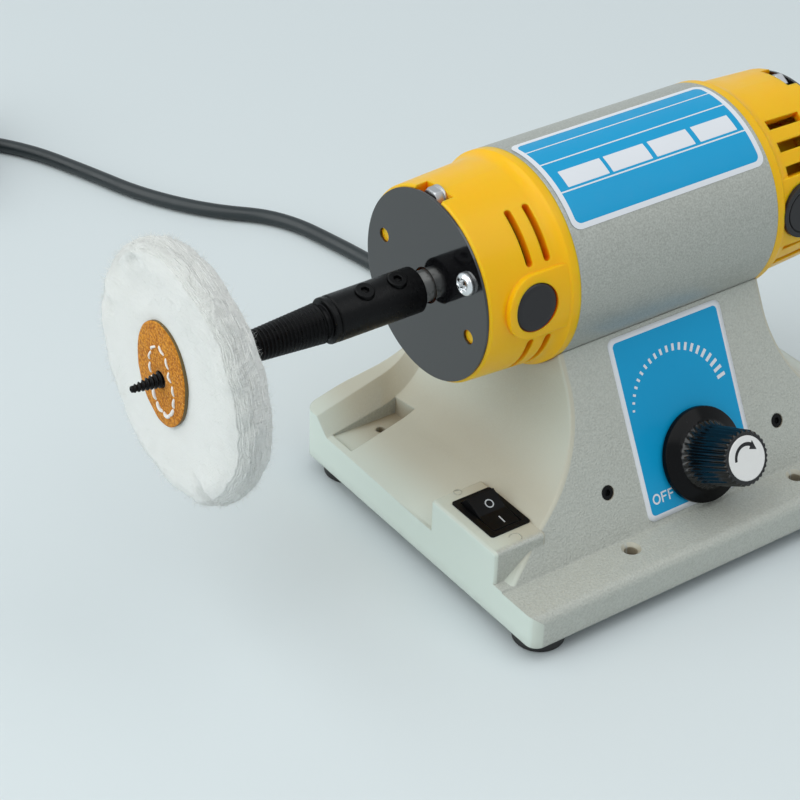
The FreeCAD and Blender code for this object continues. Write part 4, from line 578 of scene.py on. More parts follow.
# Stations of the coil: total angle in degrees, radius and height of the cord's middle.
COIL_STATIONS = [
    (26, 0.0386, 0.003), (300, 0.0386, 0.0029), (400, 0.033, 0.0029), (660, 0.033, 0.0029),
    (760, 0.0274, 0.0029), (980, 0.0274, 0.0029), (1060, 0.0274, 0.0085), (1300, 0.0274, 0.0085),
    (1400, 0.033, 0.0085), (1640, 0.033, 0.0085), (1740, 0.0386, 0.0085), (1946, 0.0386, 0.0086),
    (2026, 0.0387, 0.0135),
]
COIL_STEP = 20
# From the last turn over the coil and into the plug's tail.
CORD_END = [(-0.09362, 0.28112, 0.0141), (-0.08338, 0.27739, 0.0146), (-0.07248, 0.27815, 0.0153),
            (-0.06283, 0.28328, 0.0165), (-0.05611, 0.29188, 0.0177), (-0.05478, 0.29718, 0.0181)]


def coil_points():
    """The coil's control points, a little outside its turns, as its spline cuts inside them."""
    outside = 1 / (0.75 + 0.25 * math.cos(math.radians(COIL_STEP)))
    points = []
    angle = COIL_STATIONS[0][0]
    while angle <= COIL_STATIONS[-1][0]:
        for low, high in zip(COIL_STATIONS, COIL_STATIONS[1:]):
            if low[0] <= angle <= high[0]:
                share = smooth_step(low[0], high[0], angle)
                radius = (low[1] + (high[1] - low[1]) * share) * outside
                height = low[2] + (high[2] - low[2]) * share
        turn = math.radians(angle)
        points.append((COIL_AT.x + radius * math.cos(turn), COIL_AT.y + radius * math.sin(turn), height))
        angle += COIL_STEP
    return points


def add_cord():
    curve = bpy.data.curves.new("mains_cord", "CURVE")
    curve.dimensions = "3D"
    curve.bevel_depth = CORD_RADIUS
    curve.bevel_resolution = 6
    curve.use_fill_caps = True
    curve.resolution_u = 8
    spline = curve.splines.new("NURBS")
    points = CORD_POINTS + coil_points() + CORD_END
    spline.points.add(len(points) - 1)
    for point, place in zip(spline.points, points):
        point.co = (*place, 1)
    spline.order_u = 3
    spline.use_endpoint_u = True
    curve.materials.append(CORD_VINYL)
    cord = in_scene("mains_cord", curve)
    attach(cord, "housing")
    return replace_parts(cord, "power_cord", "cord_coil")


mains_cord = add_cord()

# Strain relief: its line, its flange as radii and places back from the motor, and its ribs.
RELIEF_X = 10
RELIEF_Z = 16
RELIEF_FLANGE = [(0.2, 45.5), (6.5, 45.5), (6.5, 47.5), (4.6, 47.5), (4.6, 51), (6.2, 51), (6.5, 51.3),
                 (6.5, 52.7), (6.2, 53), (5.2, 53)]
RELIEF_RIBS = 9
RIBS_START = 53
RIBS_END = 79
RIBS_TAPER = 1.5


def add_relief():
    """Ribbed, tapered strain relief at the back."""
    profile = list(RELIEF_FLANGE)
    step = (RIBS_END - RIBS_START) / RELIEF_RIBS
    for rib in range(RELIEF_RIBS):
        start = RIBS_START + rib * step
        radius = RELIEF_FLANGE[-1][0] - RIBS_TAPER * (start - RIBS_START) / (RIBS_END - RIBS_START)
        profile += [(radius - 0.05, start + 0.5 * step), (radius - 0.55, start + 0.6 * step),
                    (radius - 0.65, start + 0.9 * step), (radius - 0.2, start + step)]
    profile += [(2.85, RIBS_END), (2.8, RIBS_END - 1), (2.8, RIBS_END - 7)]
    shape = Shape()
    shape.set_in(placed(at(RELIEF_X, 0, RELIEF_Z), ALONG, UP, BACK), rings(profile, 40))
    relief = shape.piece("cord_relief", "housing", RUBBER, sharp=35)
    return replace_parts(relief, "strain_relief")


cord_relief = add_relief()

# The plug lies on the coil; its own X axis points to the pins.
PLUG_PLACE = (Matrix.Translation(COIL_AT + Vector((0.02774, 0.0079, 0.0113)))
              @ Matrix.Rotation(math.radians(76), 4, "Z"))
PLUG_HALF = 6.8  # height of the plug's middle over what it lies on
PLUG_TAIL_END = -17  # from here to the cord the plug is round
# Stations of the plug's body: place along it, half width and half height.
PLUG_STATIONS = [(-28, 3.6, 3.6), (-27.6, 4, 4), (-20, 4.5, 4.3), (-17, 5, 4.7), (-14.5, 7.8, 5.6),
                 (-12, 10, 6.3), (-9, 12.2, 6.5), (-8, 11.8, 6.1), (-7, 12.9, 6.6), (-5.6, 13.6, 6.6),
                 (-4.6, 13.2, 6.2), (-3.6, 14.3, 6.7), (-2.2, 14.9, 6.7), (-1.2, 14.5, 6.3),
                 (0, 15.4, 6.8), (8, 16.5, 6.8), (14, 17, 6.8), (15.4, 16.8, 6.6), (16, 16.2, 6)]
PIN_PROFILE = [(0.1, 15.5), (2, 15.5), (2, 33.6), (1.7, 34.4), (1, 34.9), (0.1, 35)]
PIN_OFFSET = 9.3


def add_plug():
    """Moulded two-pin plug body: rounded loft with finger grooves and a tapered tail."""
    rows = []
    for x, wide, high in PLUG_STATIONS:
        power = 2 / 3.2 if x > PLUG_TAIL_END else 1
        rows.append([Vector((x, y, PLUG_HALF + z)) for y, z in rounded_ring(wide, high, power, 48)])
    shape = Shape()
    shape.set_in(PLUG_PLACE, rows, ends=True)
    plug = shape.piece("plug_shell", "housing", CHARCOAL, sharp=50)
    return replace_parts(plug, "plug_body")


def add_plug_pins():
    """Two round pins with tapered tips."""
    shape = Shape()
    for side in (-1, 1):
        foot = Vector((0, side * PIN_OFFSET, PLUG_HALF)) / 1000
        shape.set_in(PLUG_PLACE @ placed(foot, BACK, UP, ALONG), rings(PIN_PROFILE, 24))
    pins = shape.piece("plug_contacts", "housing", BRASS, sharp=50)
    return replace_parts(pins, "plug_pins")


TIE_ANGLES = (130, 205)
TIE_MIDDLE_R = 0.033
TIE_MIDDLE_Z = 0.00578
TIE_HALF_WIDTH = 0.0022
TIE_LOOP = (0.0089, 0.0057)  # half its reach across the cords and up


def add_coil_ties():
    """Two flat ties that hold the coil together."""
    shape = Shape()
    for angle in TIE_ANGLES:
        out = polar(1, math.radians(angle))
        along = Vector((-out.y, out.x, 0))
        middle = COIL_AT + out * TIE_MIDDLE_R + UP * TIE_MIDDLE_Z
        loop = [middle + out * across + UP * up for across, up in rounded_ring(*TIE_LOOP, 0.6, 28)]
        edges = [along * width for width in (-TIE_HALF_WIDTH, TIE_HALF_WIDTH)]
        shape.grid([[point + edge for point in loop] for edge in edges])
    return shape.piece("coil_ties", "housing", CHARCOAL)


plug_shell = add_plug()
plug_contacts = add_plug_pins()
coil_ties = add_coil_ties()


# ---- buffing wheel ----
WHEEL_X = -158.1
WHEEL_R = 39.4
WHEEL_ROUNDING = 2.3  # how much shorter the plies at the two faces are
WHEEL_BORE_R = 2.7
HUB_HALF = 5.1
FRONT_BULGE = 0.45
BACK_BULGE = 1.9
PLIES = 26
PLY_THICKNESS = 0.47
PLY_STEPS = 240
# Shares of the way from the bore to the rim where a ply's vertices lie.
PLY_RADII = [0, 0.22, 0.4, 0.46, 0.52, 0.58, 0.64, 0.7, 0.75, 0.8, 0.84, 0.88, 0.91, 0.94, 0.965,
             0.985, 1]
# Dents worn into the front: angle in degrees, radius, half length round the wheel, half width, depth.
WHEEL_DENTS = [(124, 28, 10, 6, 2.1), (122, 34.2, 6.5, 2, 1.7), (146, 34, 6, 3.5, 1.2),
               (166, 32, 2.6, 2.8, 2), (304, 36.5, 2, 5, 2.4), (62, 33, 7, 3, 1),
               (222, 30, 9, 5, 0.8), (330, 24, 8, 5, 0.6), (38, 28, 9, 2.5, 0.8)]


def ply_radius(side, turn):
    """Rim radius of the ply at side -1 (front) to 1 (back): ragged, and shorter at the faces."""
    lobes = 0.8 * round_noise(turn, 1.7, 4 + 0.5 * side)
    lumps = 0.55 * round_noise(turn, 6, 1.6 * side)
    rags = 0.4 * round_noise(turn, 11, 9 * side)
    frays = 0.22 * round_noise(turn, 34, 40 * side)
    return WHEEL_R - WHEEL_ROUNDING * abs(side) ** 3.2 + lobes + lumps + rags + frays


def worn(radius, turn):
    """How deep the front is worn at a place, in mm."""
    depth = 0
    for angle, middle, length, width, deep in WHEEL_DENTS:
        away = (turn - math.radians(angle) + math.pi) % (2 * math.pi) - math.pi
        depth += deep * math.exp(-(away * middle / length) ** 2 - ((radius - middle) / width) ** 2)
    return depth


def ply_x(side, radius, turn):
    """Where a ply lies along the axis: pinched at the hub, slack and wavy, tucked in at the rim."""
    slack = smooth_step(16, 38, radius)
    bulge = (BACK_BULGE if side > 0 else FRONT_BULGE) * smooth_step(15.6, 23, radius)
    tuck = 1 - (0.12 if side > 0 else 0.3) * smooth_step(32, 39, radius)
    sway = round_noise(turn, 1.3, 9) * 0.6 * slack
    place = polar(radius, turn)
    pleat = noise.noise(place * 0.12 + UP * (0.5 * side)) * 0.8 * slack
    crease = noise.noise(place * 0.3 + UP * (1.2 * side)) * 0.3 * slack
    dent = worn(radius, turn) * max(-side, 0)
    return WHEEL_X + side * (HUB_HALF + bulge) * tuck + sway + pleat + crease + dent


def ply_point(side, radius, turn):
    return about_axis(ply_x(side, radius, turn), radius, turn)


def add_wheel():
    """Stack of muslin plies, each a thin sheet of its own."""
    shape = Shape()
    for ply in range(PLIES):
        side = 2 * ply / (PLIES - 1) - 1
        widths = [(turn, ply_radius(side, turn) - WHEEL_BORE_R) for turn in turns(PLY_STEPS)]
        shape.grid([[ply_point(side, WHEEL_BORE_R + width * share, turn) for turn, width in widths]
                    for share in PLY_RADII])
    wheel = shape.piece("cloth_plies", "spindle", CLOTH)
    solidify = wheel.modifiers.new("thickness", "SOLIDIFY")
    solidify.thickness = PLY_THICKNESS / 1000
    solidify.offset = 0
    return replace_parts(wheel, "buffing_wheel")


RIM_FIBRES = 8500
RIM_FIBRE_R = 0.000035
RIM_FIBRE_LENGTH = (0.0006, 0.0018)
FACE_FIBRES = 4000
FACE_FIBRE_R = 0.00003
FACE_FIBRE_LENGTH = (0.001, 0.003)
FACE_FIBRE_LIFT = (0.0001, 0.0006)
FACE_FIBRE_ZONE = (21, 36.5, 36)  # least, greatest and likeliest radius of their roots
FIBRE_ROOT = 0.3  # how deep under the rim a fibre starts
FIBRE_BEND = 0.55
FIBRE_TAPER = (1, 1, 0.8, 0.35)


def strand(shape, root, heading, length, lift, thickness):
    """Short bent fibre that tapers to its end."""
    bend = Vector((random.gauss(0, 1), random.gauss(0, 1), random.gauss(0, 1))) * FIBRE_BEND
    points = []
    for i in range(len(FIBRE_TAPER)):
        share = i / (len(FIBRE_TAPER) - 1)
        points.append(root + (heading + bend * share) * (length * share) + lift * share * (1 - 0.5 * share))
    shape.tube(points, [thickness * share for share in FIBRE_TAPER], 3)


def ways(turn):
    """Directions outwards and round the wheel at an angle."""
    return Vector((0, -math.cos(turn), math.sin(turn))), Vector((0, math.sin(turn), math.cos(turn)))


def add_rim_fibre(shape):
    side = random.uniform(-1, 1)
    turn = random.uniform(0, 2 * math.pi)
    root = ply_point(side, ply_radius(side, turn) - FIBRE_ROOT, turn)
    out, round_way = ways(turn)
    heading = out * random.uniform(0.05, 0.6) + round_way * random.gauss(0, 0.8)
    heading = (heading + ALONG * random.gauss(side * 0.5, 0.5)).normalized()
    strand(shape, root, heading, random.uniform(*RIM_FIBRE_LENGTH), Vector(), RIM_FIBRE_R)


def add_face_fibre(shape):
    side = random.choice((-1, 1))
    turn = random.uniform(0, 2 * math.pi)
    root = ply_point(side, random.triangular(*FACE_FIBRE_ZONE), turn)
    angle = random.uniform(0, 2 * math.pi)
    out, round_way = ways(turn)
    heading = out * math.cos(angle) + round_way * math.sin(angle)
    lift = ALONG * (side * random.uniform(*FACE_FIBRE_LIFT))
    strand(shape, root, heading, random.uniform(*FACE_FIBRE_LENGTH), lift, FACE_FIBRE_R)


def add_fuzz():
    """Loose fibres along the ragged rim and over the two faces."""
    shape = Shape()
    for _ in range(RIM_FIBRES):
        add_rim_fibre(shape)
    for _ in range(FACE_FIBRES):
        add_face_fibre(shape)
    return shape.piece("cloth_fuzz", "spindle", CLOTH)


# ---- leather discs ----
LEATHER_SEAT = (-163.4, -152.8)  # hub faces under the front and the back disc
LEATHER_BORE_R = (2.55, 3.1)
# Centre of each disc, to the back and up from the axis, and its reach to the sides and up.
LEATHER_CUT = (((0, 1.5), (12.9, 16.7)), ((0, 0), (15, 15.2)))
LEATHER_R = 16
LEATHER_THICKNESS = 1.25
# From the bore to the edge and back down: share of the way out, and drop from the outer face.
LEATHER_SECTION = [(0, 9), (0, 0.15), (0.03, 0), (0.2, 0), (0.4, 0), (0.6, 0), (0.8, 0), (0.93, 0),
                   (0.985, 0.04), (1, 0.18), (1.006, 0.5), (1, 9)]


def leather_depth(front, radius, turn):
    """Thickness of a leather disc, slightly domed by the stitching."""
    wave = round_noise(turn, 3, 0.1 * radius + (3 if front else 8)) * 0.2
    dome = 0.3 * (1 - (radius / LEATHER_R) ** 2)
    return LEATHER_THICKNESS + dome + wave * radius / LEATHER_R


def leather_edge(front, turn):
    """Radius of a disc's cut edge, from the axis."""
    (back, up), (wide, high) = LEATHER_CUT[0 if front else 1]
    c, s = math.cos(turn), math.sin(turn)
    return 1 / math.hypot(c / wide, s / high) + 0.22 * round_noise(turn, 2.6, 2) - back * c + up * s


def leather_place(front, depth, radius, turn):
    return about_axis(LEATHER_SEAT[0] - depth if front else LEATHER_SEAT[1] + depth, radius, turn)


def add_leather():
    """Two hand-cut leather discs with rubbed edges."""
    shape = Shape()
    for front in (True, False):
        bore = LEATHER_BORE_R[0 if front else 1]
        rows = []
        for share, drop in LEATHER_SECTION:
            row = []
            for turn in turns(120):
                radius = bore + (leather_edge(front, turn) - bore) * share
                depth = max(leather_depth(front, radius, turn) - drop, 0)
                row.append(leather_place(front, depth, radius, turn))
            rows.append(row)
        shape.grid(rows)
    discs = shape.piece("leather_washers", "spindle", LEATHER)
    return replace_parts(discs, "leather_discs")


# Stitch loop on the leather: angle in degrees and radius in mm, wandering as hand sewing does.
STITCH_LOOP = [(92, 11), (70, 9.4), (52, 7.6), (36, 5.9), (20, 6.2), (4, 6.8), (-14, 7.4), (-34, 8.6),
               (-52, 10.2), (-72, 11.4), (-92, 10.6), (-112, 8.6), (-136, 6.4), (-160, 5), (178, 5.2),
               (158, 6), (138, 7.6), (116, 9.6)]
STITCH_PITCH = 0.25
STITCH_STEPS = 13
STITCH_GAP = 3  # steps the thread spends inside the leather
STITCH_SUNK = 0.4
STITCH_ARCH = 0.6


def stitch_line():
    """Closely set points all along the stitch loop."""
    spots = [polar(radius, math.radians(angle)) for angle, radius in STITCH_LOOP]
    line = []
    for start, end in zip(spots, spots[1:] + spots[:1]):
        steps = max(int((end - start).length / STITCH_PITCH), 1)
        line += [start.lerp(end, k / steps) for k in range(steps)]
    return line


def add_stitches():
    """White thread sewn in a loop through the discs, each stitch sunk at its ends."""
    shape = Shape()
    line = stitch_line()
    for front in (True, False):
        for start in range(0, len(line) - STITCH_STEPS, STITCH_STEPS + STITCH_GAP):
            points = []
            for k in range(STITCH_STEPS):
                spot = line[start + k]
                turn = math.atan2(spot.y, spot.x)
                arch = STITCH_ARCH * math.sin(math.pi * k / (STITCH_STEPS - 1)) ** 0.5
                depth = leather_depth(front, spot.length, turn) - STITCH_SUNK + arch
                points.append(leather_place(front, depth, spot.length, turn))
            low = smooth_step(2, -8, line[start].y)
            shape.tube(points, 0.00038 + 0.00022 * low, 7)
    return shape.piece("wheel_stitches", "spindle", THREAD)


# ---- spindle ----
MANDREL_TAPER = [(-111.6, 6.35), (-152, 3.7), (-165.6, 2.45), (-173.5, 1.25), (-174.4, 0.95),
                 (-174.7, 0.3)]
MANDREL_COLLAR = [(0.1, -91), (4.95, -91), (4.95, -107.5), (7.1, -107.5), (7.2, -107.6),
                  (7.2, -109), (6.7, -109.5), (5.5, -109.5), (5.3, -109.7), (5.3, -111.4),
                  (6, -111.5), (6.3, -111.6)]
MANDREL_STEPS = 48
THREAD_START = MANDREL_TAPER[0][0]
THREAD_END = MANDREL_TAPER[-1][0]
THREAD_PITCH = 1.3
THREAD_DEPTH = 0.65
THREAD_ROWS = 10  # rows of vertices to a turn


def taper_radius(x):
    for (x0, r0), (x1, r1) in zip(MANDREL_TAPER, MANDREL_TAPER[1:]):
        if x1 <= x <= x0:
            return r0 + (r1 - r0) * (x - x0) / (x1 - x0)
    return MANDREL_TAPER[-1][1]


def thread_radius(x, turn_share):
    """Radius of the thread's V at a place along the mandrel and a share of the way round it."""
    run = THREAD_START - x
    depth = THREAD_DEPTH * smooth_step(THREAD_END, -172, x) * smooth_step(0, 0.5, run + 0.25)
    depth = min(depth, taper_radius(x) * 0.4)
    phase = (run / THREAD_PITCH + turn_share) % 1
    return max(taper_radius(x) - depth * min(1.25 * abs(2 * phase - 1), 1), 0.12)


def add_mandrel():
    """Tapered screw: a turned shank, a collar, a neck, then a V thread that runs to the point."""
    shape = Shape()
    shape.set_in(placed(at(0, 0, AXIS_Z), -BACK, UP, ALONG), rings(MANDREL_COLLAR, MANDREL_STEPS))
    step = THREAD_PITCH / THREAD_ROWS
    rows = []
    for i in range(int((THREAD_START - THREAD_END) / step) + 1):
        x = THREAD_START - step * i
        rows.append([around(x, thread_radius(x, k / MANDREL_STEPS), 360 * k / MANDREL_STEPS)
                     for k in range(MANDREL_STEPS)])
    shape.grid(rows)
    mandrel = shape.piece("threaded_mandrel", "spindle", OXIDE, sharp=40)
    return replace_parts(mandrel, "screw_mandrel")


# ---- screws and plugs ----
def hexagon(flats, turn):
    """Distance from a hexagon's centre to its edge, at an angle from one of its corners."""
    return flats / 2 / math.cos((turn % (math.pi / 3)) - math.pi / 6)


def socket_screw(shape, place, radius, depth, flats, steps=48):
    """Cup of a set screw: chamfered round top with a hexagon socket, on the matrix's Z axis."""
    def socket_point(scale, turn, height):
        return polar(hexagon(flats, turn) * scale, turn, height)

    rows = rings([(radius, -2), (radius, -0.25), (radius - 0.25, 0)], steps)
    rows += rings([(1.12, 0), (1, -0.12), (1, -depth)], steps, socket_point)
    rows += rings([(0, -depth - 0.3)], steps)
    shape.set_in(place, rows)


SET_SCREWS_X = (-84.6, -96.3)
SET_SCREW_TOP_R = 8.15
SET_SCREW_ANGLE = 73


def add_set_screws():
    """Two set screws sunk in the coupling sleeve."""
    shape = Shape()
    for x in SET_SCREWS_X:
        top = around(x, SET_SCREW_TOP_R, SET_SCREW_ANGLE)
        out = (top - around(x, 0, SET_SCREW_ANGLE)).normalized()
        socket_screw(shape, facing(top, out), radius=3, depth=1.3, flats=2.4)
    screws = shape.piece("grub_screws", "spindle", OXIDE, sharp=35)
    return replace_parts(screws, "set_screws")


def cross_head(shape, place, radius, height, shank, reach, steps=96):
    """Pan head with a cross recess and its shank, along the matrix's Z axis from the seat."""
    def head_point(size, turn, level):
        point = polar(size, turn)
        near, far = sorted((abs(size * math.cos(turn)), abs(size * math.sin(turn))))
        arm = 1 - smooth_step(0.13 * radius, 0.19 * radius, near)
        reach_in = 1 - smooth_step(0.52 * radius, 0.64 * radius, far)
        dig = arm * reach_in * (0.55 + 0.45 * (1 - far / radius))
        return point + UP * (level - 1.25 * dig)

    profile = [(radius * 0.97, 0), (radius, 0.18), (radius, height * 0.35)]
    for share in [i / 15 for i in range(1, 15)]:
        dome = 0.35 + 0.65 * math.sin(share * 2.6) ** 0.55 if share < 0.6 else 1
        profile.append((radius * (1 - share), height * dome))
    rows = rings([(shank, -reach), (shank, 0.02)], steps)
    rows += rings(profile, steps, head_point)
    rows += rings([(0, height - 1.3)], steps)
    shape.set_in(place, rows)


PLATE_SEATS = ((-72.4, -1), (71.8, 1))  # outer face of each end plate, and the way it faces
PLATE_SCREW_R = 22.9
PLATE_SCREW_ANGLES = (28.7, 208.7)


def add_plate_screws():
    """Pan-head screws of the two end plates."""
    shape = Shape()
    for x, way in PLATE_SEATS:
        for angle in PLATE_SCREW_ANGLES:
            seat = facing(around(x, PLATE_SCREW_R, angle), Vector((way, 0, 0)))
            cross_head(shape, seat, radius=3.7, height=2.2, shank=1.9, reach=7.5)
    screws = shape.piece("pan_head_screws", "housing", CHROME, sharp=45)
    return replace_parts(screws, "end_plate_screws")


def hexagon_head(shape, place, flats, height, steps=72):
    """Hexagon head with a chamfered top, on the matrix's Z axis from its seat."""
    def head_point(limit, turn, level):
        return polar(min(hexagon(flats, turn), limit), turn, level)

    corner = flats / math.sqrt(3)
    profile = [(corner, 0), (corner, height - 0.45), (flats / 2 * 1.04, height - 0.12),
               (flats / 2 * 0.95, height), (0.001, height)]
    shape.set_in(place, rings(profile, steps, head_point))


TIE_BOLT_R = 28
TIE_BOLT_ANGLES = (93, 273)
TIE_SEAT_X = -67.2
WASHER = [(2, 0), (4.1, 0), (4.2, 0.1), (4.2, 0.7), (4.1, 0.8), (2, 0.8)]


def add_tie_bolts():
    """Long bolts through the motor, with washers and hexagon heads in the notches of the left cap."""
    shape = Shape()
    for angle in TIE_BOLT_ANGLES:
        seat = facing(around(TIE_SEAT_X, TIE_BOLT_R, angle), Vector((-1, 0, 0)))
        shape.set_in(seat, rings(WASHER, 64))
        hexagon_head(shape, seat @ Matrix.Translation((0, 0, 0.0008)), flats=7, height=2.8)
        shape.tube([around(x, TIE_BOLT_R, angle) for x in (-68, 0, 70)], 0.002, 20)
    bolts = shape.piece("through_bolts", "housing", STEEL, sharp=30)
    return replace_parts(bolts, "tie_bolts")


PORT_X = -55.9
PORT_ANGLES = (6.5, 186.5)
PORT_PLUG = [(0.1, 28.4), (7.7, 28.4), (7.7, 32.4), (7.55, 32.95), (7.2, 33.3), (6.8, 33.42),
             (5.5, 33.4), (3, 33.34), (0.02, 33.32)]


def add_port_plugs():
    """Snap-in plugs with a rounded rim and a shallow dished face."""
    shape = Shape()
    for angle in PORT_ANGLES:
        out = (around(0, 1, angle) - around(0, 0, angle)).normalized()
        place = placed(around(PORT_X, 0, 0), ALONG, out.cross(ALONG), out)
        shape.set_in(place, rings(PORT_PLUG, 72))
    plugs = shape.piece("port_covers", "housing", CHARCOAL, sharp=50)
    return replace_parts(plugs, "port_plugs")


# ---- printed films ----
def rounded_outline(low, high, corner, steps=10, side_steps=40):
    """Points round a rectangle with round corners, in the film's own two coordinates."""
    (u0, v0), (u1, v1) = low, high
    centres = [(u1 - corner, v0 + corner, -90), (u1 - corner, v1 - corner, 0),
               (u0 + corner, v1 - corner, 90), (u0 + corner, v0 + corner, 180)]
    arcs = []
    for u, v, start in centres:
        bends = [math.radians(start + 90 * k / steps) for k in range(steps + 1)]
        arcs.append([(u + corner * math.cos(turn), v + corner * math.sin(turn)) for turn in bends])
    points = []
    for arc, following in zip(arcs, arcs[1:] + arcs[:1]):
        (u, v), (u_next, v_next) = arc[-1], following[0]
        points += arc
        points += [(u + (u_next - u) * k / side_steps, v + (v_next - v) * k / side_steps)
                   for k in range(1, side_steps)]
    return points


def film_sheet(shape, low, high, corner, place):
    """Rounded rectangle as rows of quads across it, so that it can follow a cylinder."""
    (u0, v0), (u1, v1) = low, high
    levels = [v0 + corner * (1 - math.cos(math.pi / 2 * k / 8)) for k in range(9)]
    middle = [v0 + corner + (v1 - v0 - 2 * corner) * k / 20 for k in range(1, 20)]
    levels += middle + [v1 - (level - v0) for level in reversed(levels)]
    rows = []
    for v in levels:
        past = max(v0 + corner - v, v - v1 + corner, 0)
        inset = corner - math.sqrt(max(corner ** 2 - past ** 2, 0)) if corner else 0
        rows.append([place(u0 + inset + (u1 - u0 - 2 * inset) * k / 6, v) for k in range(7)])
    shape.grid(rows, closed=False)


def film_frame(shape, low, high, corner, border, place, foot=None):
    """Border of even width inside a rounded rectangle, and down its edge to a foot if one is given."""
    outer = rounded_outline(low, high, corner)
    inner = rounded_outline((low[0] + border, low[1] + border), (high[0] - border, high[1] - border),
                            max(corner - border * 0.6, 0.3))
    rows = [[foot(u, v) for u, v in outer]] if foot else []
    rows += [[place(u, v) for u, v in outline] for outline in (outer, inner)]
    shape.grid(rows)


MOTOR_LABEL_R = 34.56
MM_PER_DEGREE = MOTOR_LABEL_R * math.pi / 180
PRINT_LIFT = 0.02
# Along the motor in mm, and up its arc in degrees.
LABEL_LOW = (-38.6, 38)
LABEL_HIGH = (38, 101)
LABEL_CORNER = 3.2
LABEL_BORDER = 1.75
LABEL_RULES = (89.6, 77.6, 58.6)
LABEL_RULE_ENDS = (-36.9, 36.3)
LABEL_RULE_HALF = 0.24
LABEL_FIELDS = ((-33.5, -17.5), (-16.1, -0.4), (1.3, 16.8), (18.8, 33.9))
LABEL_FIELD_ARC = (60.3, 70.5)


def on_motor(lift):
    """Film coordinates on the motor: u along its axis, v along the arc from the front, in mm."""
    return lambda u, v: around(u, MOTOR_LABEL_R + lift, v / MM_PER_DEGREE)


def add_motor_label():
    """Blue film with a white border, three rules and four blank data fields."""
    low, high = [(u, angle * MM_PER_DEGREE) for u, angle in (LABEL_LOW, LABEL_HIGH)]
    blue = Shape()
    film_sheet(blue, low, high, LABEL_CORNER, on_motor(0))
    label = blue.piece("motor_film", "housing", BLUE)
    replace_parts(label, "motor_label")
    white = Shape()
    face = on_motor(PRINT_LIFT)
    film_frame(white, low, high, LABEL_CORNER, LABEL_BORDER, face)
    for angle in LABEL_RULES:
        v = angle * MM_PER_DEGREE
        film_sheet(white, (LABEL_RULE_ENDS[0], v - LABEL_RULE_HALF),
                   (LABEL_RULE_ENDS[1], v + LABEL_RULE_HALF), 0, face)
    bottom, top = [angle * MM_PER_DEGREE for angle in LABEL_FIELD_ARC]
    for left, right in LABEL_FIELDS:
        film_sheet(white, (left, bottom), (right, top), 0.25, face)
    white.piece("motor_film_print", "housing", WHITE_INK)


PANEL_TILT = math.radians(27.7)
PANEL_FOOT = (-56.7, 17.5)
PANEL_FILM_LIFT = 0.32
KNOB_X = 1.9
KNOB_SLOPE = 14.3 / math.cos(PANEL_TILT)


def on_panel(u, v, lift=0):
    """Panel coordinates in mm: u along the motor, v up the slope from its foot, lift outwards."""
    y = PANEL_FOOT[0] + v * math.sin(PANEL_TILT) - lift * math.cos(PANEL_TILT)
    z = PANEL_FOOT[1] + v * math.cos(PANEL_TILT) + lift * math.sin(PANEL_TILT)
    return at(u, y, z)


def on_film(u, v):
    return on_panel(u, v, PANEL_FILM_LIFT)


def bar_letter(shape, bars, place):
    """Letter made of straight bars (u0, v0, u1, v1, width)."""
    for u0, v0, u1, v1, width in bars:
        along = Vector((u1 - u0, v1 - v0)).normalized()
        across = Vector((-along.y, along.x)) * width / 2
        rows = []
        for u, v in ((u0, v0), (u1, v1)):
            rows.append([place(u - across.x, v - across.y), place(u + across.x, v + across.y)])
        shape.grid(rows, closed=False)


def ring_band(shape, centre, inner, outer, start, end, place, stretch=1):
    """Arc-shaped band; inner and outer are pairs of radii, at its start and at its end."""
    rows = []
    steps = max(int(abs(end - start) / 6), 2)
    for k in range(steps + 1):
        share = k / steps
        turn = math.radians(start + (end - start) * share)
        row = []
        for first, last in (inner, outer):
            radius = first + (last - first) * share
            row.append(place(centre[0] + radius * math.cos(turn),
                             centre[1] + radius * stretch * math.sin(turn)))
        rows.append(row)
    shape.grid(rows, closed=False)


FILM_HALF_WIDTH = 23.03
FILM_LOW = 1.3 / math.cos(PANEL_TILT) - 0.03
FILM_HIGH = 54.424 / math.cos(PANEL_TILT) + 0.03
FILM_CORNER = 2.5
FILM_BORDER = 1.65
WORD_V = 8  # middle of the word OFF, up the slope
LETTER_O_U = -18.4
LETTER_F_U = (-16.1, -13.3)
LETTER_F = ((0, -1.7, 0, 1.7, 0.55), (0, 1.45, 2, 1.45, 0.55), (0, 0.05, 1.7, 0.05, 0.5))
# Scale over the knob: its centre, its bars' angles in degrees, and how the bars grow.
SCALE_CENTRE = Vector((-1.4, 33.6))
SCALE_BARS = 21
SCALE_START = 168
SCALE_SWEEP = 156
SCALE_R = 17.6


def add_scale(shape):
    """Rising scale of bars over the knob."""
    for i in range(SCALE_BARS):
        share = i / (SCALE_BARS - 1)
        turn = math.radians(SCALE_START - SCALE_SWEEP * share)
        across = Vector((math.cos(turn), math.sin(turn)))
        inner = SCALE_R - 0.2 * share
        start = SCALE_CENTRE + across * inner
        end = SCALE_CENTRE + across * (inner + 0.9 + 2.5 * share)
        bar_letter(shape, [(start.x, start.y, end.x, end.y, 0.7 + 0.5 * share)], on_film)


def add_panel_print():
    """White border, the word OFF and the scale on the blue panel film."""
    shape = Shape()
    film_frame(shape, (-FILM_HALF_WIDTH, FILM_LOW), (FILM_HALF_WIDTH, FILM_HIGH), FILM_CORNER,
               FILM_BORDER, on_film, on_panel)
    ring_band(shape, (LETTER_O_U, WORD_V), (1, 1), (1.55, 1.55), 0, 360, on_film, 1.12)
    for u in LETTER_F_U:
        bars = [(u + u0, WORD_V + v0, u + u1, WORD_V + v1, width) for u0, v0, u1, v1, width in LETTER_F]
        bar_letter(shape, bars, on_film)
    add_scale(shape)
    return shape.piece("panel_print", "housing", WHITE_INK)


